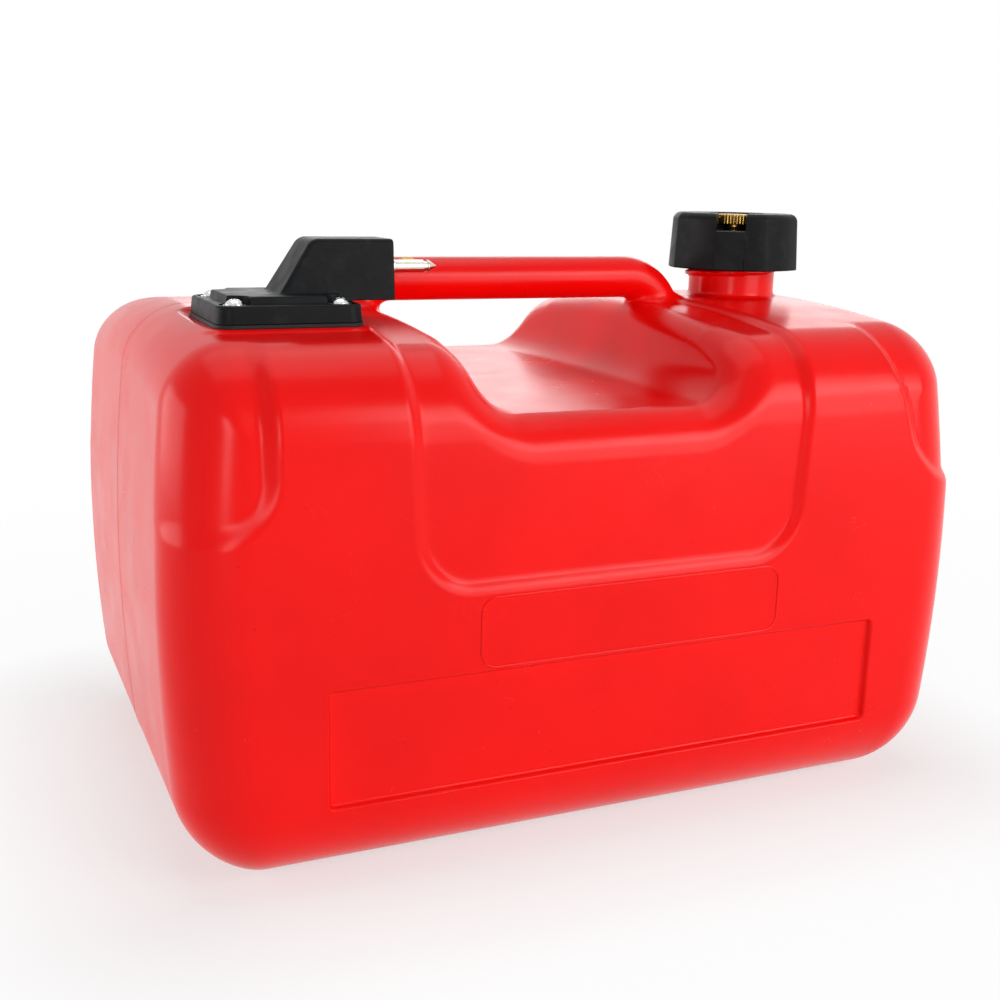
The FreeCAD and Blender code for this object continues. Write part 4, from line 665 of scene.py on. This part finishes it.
def nylon(colour):
    """Black nylon, injection-moulded."""
    # to the eye: dark grey with weak, soft highlights, a fine matt grain and rubbed places
    material, tree, place = new_material("moulded_black_nylon")
    # dusty, rubbed places, up to 6 mm
    dust = add(tree, "TexNoise", {
        "Vector": place, "Scale": 1 / (6.0 * MM), "Detail": 6.0, "Roughness": 0.7})
    dust = add(tree, "MapRange", {"Value": dust, "From Min": 0.52, "From Max": 0.75, "To Max": 0.1})
    hue = add(tree, "Mix", {0: dust, 6: linear(colour), 7: linear("54575B")},
              data_type="RGBA").outputs[2]
    # patches of more and less gloss, about 8 mm
    gloss = add(tree, "TexNoise", {"Vector": place, "Scale": 1 / (8.0 * MM), "Detail": 4.0})
    gloss = add(tree, "MapRange", {
        "Value": gloss, "From Min": 0.3, "From Max": 0.7, "To Min": 0.36, "To Max": 0.50})
    # spark-eroded grain of the mould, drawn at 0.35 mm so that it shows
    grain = add(tree, "TexNoise", {"Vector": place, "Scale": 1 / (0.35 * MM)})
    grain = add(tree, "Bump", {"Height": grain, "Strength": 0.35, "Distance": 0.05 * MM})
    shader = add(tree, "BsdfPrincipled", {
        "Base Color": hue, "Roughness": gloss, "Normal": grain, "IOR": 1.53,
        "Specular IOR Level": 0.09})
    add(tree, "OutputMaterial", {"Surface": shader})
    return material


def rubber():
    """Nitrile rubber, moulded."""
    # to the eye: nearly black and dull, with a greyish moulding bloom in 3 mm patches
    material, tree, place = new_material("nitrile_rubber")
    bloom = add(tree, "TexNoise", {
        "Vector": place, "Scale": 1 / (3.0 * MM), "Detail": 5.0, "Roughness": 0.65})
    bloom = add(tree, "MapRange", {
        "Value": bloom, "From Min": 0.5, "From Max": 0.8, "To Max": 0.3})
    hue = add(tree, "Mix", {0: bloom, 6: linear("101011"), 7: linear("38393A")},
              data_type="RGBA").outputs[2]
    # fine grain, drawn at 0.3 mm so that it shows
    grain = add(tree, "TexNoise", {"Vector": place, "Scale": 1 / (0.3 * MM)})
    grain = add(tree, "Bump", {"Height": grain, "Strength": 0.4, "Distance": 0.05 * MM})
    shader = add(tree, "BsdfPrincipled", {
        "Base Color": hue, "Roughness": 0.55, "Normal": grain, "IOR": 1.52,
        "Specular IOR Level": 0.2})
    add(tree, "OutputMaterial", {"Surface": shader})
    return material


def turned_metal(name, colour, tarnish, roughness, axis, line_mm):
    """Metal turned on a lathe, bare or plated, with its lines set out along one axis."""
    # to the eye: bright, with fine rings round the axis and a little tarnish; real lathe lines
    # are about 0.05 mm apart and are drawn four to six times as coarse so that they show
    material, tree, place = new_material(name)
    stretch = [1.0, 1.0, 1.0]
    stretch[axis] = LATHE_STRETCH
    squeezed = add(tree, "Mapping", {"Vector": place, "Scale": stretch})
    lines = add(tree, "TexNoise", {
        "Vector": squeezed, "Scale": 1 / (line_mm * LATHE_STRETCH * MM), "Roughness": 0.6})
    # tarnish in patches of 2.5 mm
    stain = add(tree, "TexNoise", {
        "Vector": place, "Scale": 1 / (2.5 * MM), "Detail": 5.0, "Roughness": 0.65})
    stain = add(tree, "MapRange", {
        "Value": stain, "From Min": 0.45, "From Max": 0.8, "To Max": 0.55})
    hue = add(tree, "Mix", {0: stain, 6: linear(colour), 7: linear(tarnish)},
              data_type="RGBA").outputs[2]
    gloss = add(tree, "MapRange", {
        "Value": lines, "From Min": 0.3, "From Max": 0.7, "To Min": roughness[0],
        "To Max": roughness[1]})
    bump = add(tree, "Bump", {"Height": lines, "Strength": 0.25, "Distance": 0.02 * MM})
    shader = add(tree, "BsdfPrincipled", {
        "Base Color": hue, "Metallic": 1.0, "Roughness": gloss, "Normal": bump})
    add(tree, "OutputMaterial", {"Surface": shader})
    return material


def brass():
    """Brass, turned."""
    # to the eye: warm yellow, a little dull
    return turned_metal("turned_brass", colours().brass, "8A6426", (0.22, 0.36), 2, 0.25)


def natural_nylon():
    """Uncoloured nylon of the strainer, injection-moulded."""
    # to the eye: milky and smooth, in tones that change over 4 mm
    material, tree, place = new_material("natural_nylon")
    tone = add(tree, "TexNoise", {"Vector": place, "Scale": 1 / (4.0 * MM), "Detail": 3.0})
    hue = add(tree, "Mix", {0: tone, 6: linear("E9E4D6"), 7: linear("D8D0BC")},
              data_type="RGBA").outputs[2]
    shader = add(tree, "BsdfPrincipled", {"Base Color": hue, "Roughness": 0.4, "IOR": 1.53})
    add(tree, "OutputMaterial", {"Surface": shader})
    return material


def colours():
    """The user's colours."""
    return bpy.context.scene.fuel_tank_colours


# -------- operators
# spacing of the body's mesh at the panel's edges, and at saddle, thread and handle
PANEL_STEP, DETAIL_STEP, PANEL_BAND = 0.45, 0.8, 2.2
SADDLE_BAND, SADDLE_LOW_BAND, TOP_BAND = (77.0, 90.0), (108.0, 118.0), (212.0, 236.0)
BEAD_STEPS = 8
# meshes of gasket and screws
GASKET_STEPS, GASKET_DRAW = (0.5, 0.5, 0.2), 0.3
SCREW_REACH, SCREW_LOW, SCREW_HIGH, SCREW_SHANK_BAND = 3.7, -15.1, 2.4, (-15.3, -0.6, 0.6)
SCREW_TURN, SCREW_TURN_STEP = 20, 55
VENT_COARSER = 1.2


class FUELTANK_OT_body(bpy.types.Operator):
    """Builds the red blow moulding with its handle, saddle, panels and threaded neck"""
    bl_idname = "fuel_tank.body"
    bl_label = "Tank body"

    def execute(self, context):
        sizes = context.scene.fuel_tank_sizes
        step = sizes.body_step / MM
        low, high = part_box("tank_shell")
        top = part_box("filler_neck")[1][2] / MM
        x_bands, z_bands = [
            [(edge - PANEL_BAND, edge + PANEL_BAND, PANEL_STEP)
             for edge in (middle - half, middle + half)]
            for middle, half in ((PANEL_X, PANEL_HALF_X), (PANEL_Z, PANEL_HALF_Z))]
        x_bands += [(-SADDLE_BAND[1], -SADDLE_BAND[0], DETAIL_STEP), (*SADDLE_BAND, DETAIL_STEP)]
        z_bands += [(*SADDLE_LOW_BAND, DETAIL_STEP), (*TOP_BAND, DETAIL_STEP)]
        lines = (grid_line(low[0] / MM, high[0] / MM, step, x_bands),
                 grid_line(low[1] / MM, high[1] / MM, step, shift=0.5),
                 grid_line(0.0, top, step, z_bands))
        red = polyethylene(colours().polyethylene)
        body = skin("tank_skin", tank_field(sizes), lines, 1.0)
        dress(body, "tank", "red_polyethylene", red, "tank_shell", "carry_handle", "filler_neck")
        for side, face in ((-1, "front"), (1, "back")):
            bead = label_bead("label_bead_" + face, side, sizes.width / MM / 2)
            dress(bead, "tank", "red_polyethylene", red)
        return {"FINISHED"}


def label_bead(name, side, face_y):
    """Low half-round line round the bare label field."""
    path = []
    for quarter in range(4):
        middle_x = LABEL_X + (1 if quarter in (0, 3) else -1) * (LABEL_HALF_X - LABEL_CORNER)
        middle_z = LABEL_Z + (1 if quarter in (0, 1) else -1) * (LABEL_HALF_Z - LABEL_CORNER)
        for share in range(BEAD_STEPS + 1):
            angle = (quarter + share / BEAD_STEPS) * pi / 2
            path.append((middle_x + LABEL_CORNER * cos(angle),
                         middle_z + LABEL_CORNER * sin(angle), cos(angle), sin(angle)))
    arch = [step * pi / BEAD_STEPS for step in range(BEAD_STEPS + 1)]
    profile = [(LABEL_LINE_HALF * cos(angle), LABEL_LINE_RISE * sin(angle)) for angle in arch]
    points = []
    for x, z, out_x, out_z in path:
        for across, rise in profile:
            points.append(((x + out_x * across) * MM,
                           side * (face_y - LABEL_LINE_ROOT + rise) * MM,
                           (z + out_z * across) * MM))
    quads = []
    count, width = len(path), len(profile)
    for index in range(count):
        following = (index + 1) % count
        for step in range(width):
            after = (step + 1) % width
            ring = [index * width + step, following * width + step,
                    following * width + after, index * width + after]
            quads.append(ring if side > 0 else ring[::-1])
    return mesh_object(name, points, np.array(quads))


class FUELTANK_OT_cover(bpy.types.Operator):
    """Builds the black pickup cover and the rubber gasket below it"""
    bl_idname = "fuel_tank.cover"
    bl_label = "Pickup cover"

    def execute(self, context):
        step = context.scene.fuel_tank_sizes.cover_step / MM
        lines = lines_in(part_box("pickup_cover"), step)
        cover = skin("pickup_cover_skin", cover_field, lines, step)
        dress(cover, "tank", "black_nylon", nylon(colours().nylon), "pickup_cover")
        lines = lines_in(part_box("flange_gasket"), *GASKET_STEPS)
        gasket = skin("gasket_lip", gasket_field, lines, GASKET_DRAW)
        dress(gasket, "tank", "nitrile_rubber", rubber(), "flange_gasket")
        return {"FINISHED"}


class FUELTANK_OT_screws(bpy.types.Operator):
    """Builds the four domed cover screws with cross recesses"""
    bl_idname = "fuel_tank.screws"
    bl_label = "Cover screws"

    def execute(self, context):
        step = context.scene.fuel_tank_sizes.metal_step / MM
        wide = grid_line(-SCREW_REACH, SCREW_REACH, step)
        lines = (wide, wide, grid_line(SCREW_LOW, SCREW_HIGH, step, [SCREW_SHANK_BAND]))
        # turned and polished stainless steel: cool grey and bright
        steel = turned_metal("stainless_steel", colours().steel, "9A9C9E", (0.14, 0.24), 2, 0.3)
        screws = [skin("cover_screw_1", screw_field, lines, step)]
        for number in range(2, len(SCREWS) + 1):
            screw = bpy.data.objects.new("cover_screw_%d" % number, screws[0].data.copy())
            context.scene.collection.objects.link(screw)
            screws.append(screw)
        for number, (screw, (x, y)) in enumerate(zip(screws, SCREWS)):
            turn = radians(SCREW_TURN + SCREW_TURN_STEP * number)
            screw.data.transform(Matrix.Rotation(turn, 4, "Z"))
            screw.data.transform(Matrix.Translation(Vector((x, y, SCREW_Z)) * MM))
            nodes = ("flange_screws",) if number == 0 else ()
            dress(screw, "tank", "stainless_steel", steel, *nodes)
        return {"FINISHED"}


class FUELTANK_OT_fitting(bpy.types.Operator):
    """Builds the nickel-plated connector stem and the notched brass pin beside it"""
    bl_idname = "fuel_tank.fitting"
    bl_label = "Snap connector"

    def execute(self, context):
        step = context.scene.fuel_tank_sizes.metal_step / MM
        # bright nickel plate on turned brass: a warm grey mirror
        nickel = turned_metal("nickel_plate", colours().nickel, "A39C8C", (0.10, 0.22), 0, 0.2)
        for name, field, node, slot, metal in (
                ("stem_plated", stem_field, "connector_stem", "nickel_plate", nickel),
                ("latch_pin_turned", pin_field, "latch_pin", "brass", brass())):
            piece = skin(name, field, lines_in(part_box(node), step), step)
            dress(piece, "tank", slot, metal, node)
        return {"FINISHED"}


class FUELTANK_OT_cap(bpy.types.Operator):
    """Builds the ridged black filler cap"""
    bl_idname = "fuel_tank.cap"
    bl_label = "Filler cap"

    def execute(self, context):
        step = context.scene.fuel_tank_sizes.cover_step / MM
        cap = skin("filler_cap_skin", cap_field, lines_in(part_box("filler_cap"), step), step)
        dress(cap, "cap", "black_nylon", nylon(colours().nylon), "filler_cap")
        return {"FINISHED"}


class FUELTANK_OT_vent(bpy.types.Operator):
    """Builds the knurled brass vent screw"""
    bl_idname = "fuel_tank.vent"
    bl_label = "Vent screw"

    def execute(self, context):
        step = context.scene.fuel_tank_sizes.metal_step / MM
        lines = lines_in(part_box("vent_screw"), step * VENT_COARSER)
        knob = skin("vent_knob_turned", vent_field, lines, step)
        dress(knob, "vent_knob", "brass", brass(), "vent_screw")
        return {"FINISHED"}


class FUELTANK_OT_inner(bpy.types.Operator):
    """Gives the pieces inside the tank, the cover and the cap their finishes"""
    bl_idname = "fuel_tank.inner"
    bl_label = "Inner pieces"

    def execute(self, context):
        # cold-rolled stainless steel: duller than the screws
        steel = turned_metal(
            "stainless_steel_sheet", colours().steel, "9A9C9E", (0.2, 0.35), 2, 0.3)
        finishes = {
            "brass": brass(), "black_nylon": nylon(colours().nylon), "nitrile_rubber": rubber(),
            "stainless_steel": steel, "natural_nylon": natural_nylon(),
        }
        for part in frame["record"]["subparts"]:
            material = finishes.get(part["material_slot"])
            if material:
                for place in frame["nodes"][part["node"]].material_slots:
                    place.material = material
        return {"FINISHED"}


# -------- floor, light and camera, in metres apart from the camera's place and lens
CAMERA_PLACE = (-241.27, -545.62, 258.95)
CAMERA_YAW, CAMERA_PITCH, CAMERA_ROLL = radians(-23.89), radians(13.54), radians(1.28)
CAMERA_LENS, CAMERA_SENSOR, CAMERA_NEAR = 47.21, 36.0, 0.01
FLOOR_HALF = 6.0
FOOTPRINT_HALF = (0.165, 0.105, 0.0)
SKY_LIGHT = 0.15
# name, place, target, width, height, radiance
LAMPS = (
    ("left_softbox", (-1.23, 0.42, 0.32), (-0.17, -0.1, 0.15), 1.1, 0.64, 3.1),
    ("front_softbox", (0.6, -1.0, 0.74), (0.1, -0.12, 0.17), 0.75, 0.36, 4.8),
    ("low_softbox", (0.6, -1.0, 0.34), (0.1, -0.12, 0.17), 0.75, 0.66, 3.0),
    ("strip_light", (-0.68, -1.19, 0.36), (-0.15, -0.11, 0.18), 0.2, 0.72, 6.4),
    ("back_softbox", (0.7, 1.4, 0.6), (0.05, 0.05, 0.18), 1.3, 0.5, 1.4),
    ("top_softbox", (0.0, 0.2, 1.5), (0, 0, 0.1), 1.2, 1.2, 1.2),
)


def softbox(name, place, target, width, height, radiance):
    """Rectangular lamp that looks at a point and is as bright as the radiance says."""
    data = bpy.data.lights.new(name, "AREA")
    data.shape = "RECTANGLE"
    data.size, data.size_y = width, height
    data.energy = radiance * pi * width * height
    lamp = bpy.data.objects.new(name, data)
    lamp.location = place
    aim = Vector(target) - Vector(place)
    lamp.rotation_euler = aim.to_track_quat("-Z", "Y").to_euler()
    lamp.visible_camera = False
    bpy.context.scene.collection.objects.link(lamp)


class FUELTANK_OT_stage(bpy.types.Operator):
    """Sets the pale floor, the soft light and the camera"""
    bl_idname = "fuel_tank.stage"
    bl_label = "Stage"

    def execute(self, context):
        scene = context.scene
        corners = [(x * FLOOR_HALF, y * FLOOR_HALF, 0)
                   for x, y in ((-1, -1), (1, -1), (1, 1), (-1, 1))]
        floor_piece = mesh_object("floor", corners, np.array([[0, 1, 2, 3]]))
        floor_piece.data.materials.append(floor_material(colours().floor))
        scene.world = scene.world or bpy.data.worlds.new("studio")
        scene.world.use_nodes = True
        tree = scene.world.node_tree
        tree.nodes.clear()
        # a plain sky that is seen as white and lights the tank only a little
        strength = add(tree, "MapRange", {"Value": seen_ray(tree), "To Min": SKY_LIGHT})
        sky = add(tree, "Background", {"Color": WHITE, "Strength": strength})
        add(tree, "OutputWorld", {"Surface": sky})
        for lamp in LAMPS:
            softbox(*lamp)
        camera_data = bpy.data.cameras.new("camera")
        camera_data.sensor_width = CAMERA_SENSOR
        camera_data.lens = CAMERA_LENS
        camera_data.clip_start = CAMERA_NEAR
        camera = bpy.data.objects.new("camera", camera_data)
        scene.collection.objects.link(camera)
        right = Vector((cos(CAMERA_YAW), sin(CAMERA_YAW), 0))
        forward = Vector((-sin(CAMERA_YAW) * cos(CAMERA_PITCH),
                          cos(CAMERA_YAW) * cos(CAMERA_PITCH), -sin(CAMERA_PITCH)))
        up = right.cross(forward)
        turned_right = cos(CAMERA_ROLL) * right + sin(CAMERA_ROLL) * up
        turned_up = cos(CAMERA_ROLL) * up - sin(CAMERA_ROLL) * right
        basis = Matrix((turned_right, turned_up, -forward)).transposed().to_4x4()
        camera.matrix_world = Matrix.Translation(Vector(CAMERA_PLACE) * MM) @ basis
        scene.camera = camera
        scene.view_settings.view_transform = "Standard"
        return {"FINISHED"}


def seen_ray(tree):
    """1 for what is seen straight, mirrored or through a clear piece, 0 for what only lights."""
    rays = add(tree, "LightPath").outputs
    seen = rays["Is Camera Ray"]
    for kind in ("Is Glossy Ray", "Is Transmission Ray"):
        seen = add(tree, "Math", {0: seen, 1: rays[kind]}, operation="MAXIMUM")
    return seen


def floor_material(colour):
    """Board, painted white."""
    # to the eye: matt with the tank's shadow on it, a painted shade that keeps it darker close
    # round the tank's footprint, and as white as the surroundings beyond
    material, tree, place = new_material("painted_board")
    # brushed paint changes its tone over 400 mm
    tone = add(tree, "TexNoise", {"Vector": place, "Scale": 1 / (400.0 * MM)})
    base = linear(colour)
    dull = (*[channel * 0.985 for channel in base[:3]], 1.0)
    pale = add(tree, "Mix", {0: tone, 6: base, 7: dull}, data_type="RGBA").outputs[2]
    shader = add(tree, "BsdfDiffuse", {"Color": pale})
    white = add(tree, "Emission", {"Color": WHITE, "Strength": 1.0})
    # metres from the tank's footprint
    past = add(tree, "VectorMath", {0: place}, operation="ABSOLUTE")
    past = add(tree, "VectorMath", {0: past, 1: FOOTPRINT_HALF}, operation="SUBTRACT")
    past = add(tree, "VectorMath", {0: past, 1: (0, 0, 0)}, operation="MAXIMUM")
    past = add(tree, "VectorMath", {0: past}, operation="LENGTH").outputs["Value"]
    # painted shade: close to the tank's footprint the floor shows less of its white glow and reads
    # darker, on top of the real shadow; further out it runs into plain white
    seen = seen_ray(tree)
    for near, far, least, most in ((0.0, 0.09, 0.6, 0.95), (0.09, 0.5, 0.0, 1.0)):
        share = add(tree, "MapRange", {
            "Value": past, "From Min": near, "From Max": far, "To Min": least, "To Max": most})
        share = add(tree, "Math", {0: share, 1: seen}, operation="MULTIPLY")
        shader = add(tree, "MixShader", {0: share, 1: shader, 2: white})
    add(tree, "OutputMaterial", {"Surface": shader})
    return material


class FUELTANK_PT_panel(bpy.types.Panel):
    """Lists the tank's sizes, colours and build steps."""
    bl_label = "Fuel Tank"
    bl_idname = "FUELTANK_PT_panel"
    bl_space_type = "VIEW_3D"
    bl_region_type = "UI"
    bl_category = "Fuel Tank"

    def draw(self, context):
        layout = self.layout
        for group in (context.scene.fuel_tank_sizes, context.scene.fuel_tank_colours):
            for name in group.__annotations__:
                layout.prop(group, name)
        for operator in OPERATORS:
            layout.operator(operator.bl_idname)


OPERATORS = (
    FUELTANK_OT_body, FUELTANK_OT_cover, FUELTANK_OT_screws, FUELTANK_OT_fitting,
    FUELTANK_OT_cap, FUELTANK_OT_vent, FUELTANK_OT_inner, FUELTANK_OT_stage,
)
CLASSES = (FuelTankSizes, FuelTankColours, *OPERATORS, FUELTANK_PT_panel)


def register():
    """Registers the classes and hangs the settings on the scene."""
    for entry in CLASSES:
        bpy.utils.register_class(entry)
    bpy.types.Scene.fuel_tank_sizes = bpy.props.PointerProperty(type=FuelTankSizes)
    bpy.types.Scene.fuel_tank_colours = bpy.props.PointerProperty(type=FuelTankColours)


def unregister():
    """Takes the settings and classes away again."""
    del bpy.types.Scene.fuel_tank_colours
    del bpy.types.Scene.fuel_tank_sizes
    for entry in reversed(CLASSES):
        bpy.utils.unregister_class(entry)


def main():
    """Builds everything."""
    register()
    for operator in OPERATORS:
        group, name = operator.bl_idname.split(".")
        getattr(getattr(bpy.ops, group), name)()


if __name__ == "__main__":
    main()
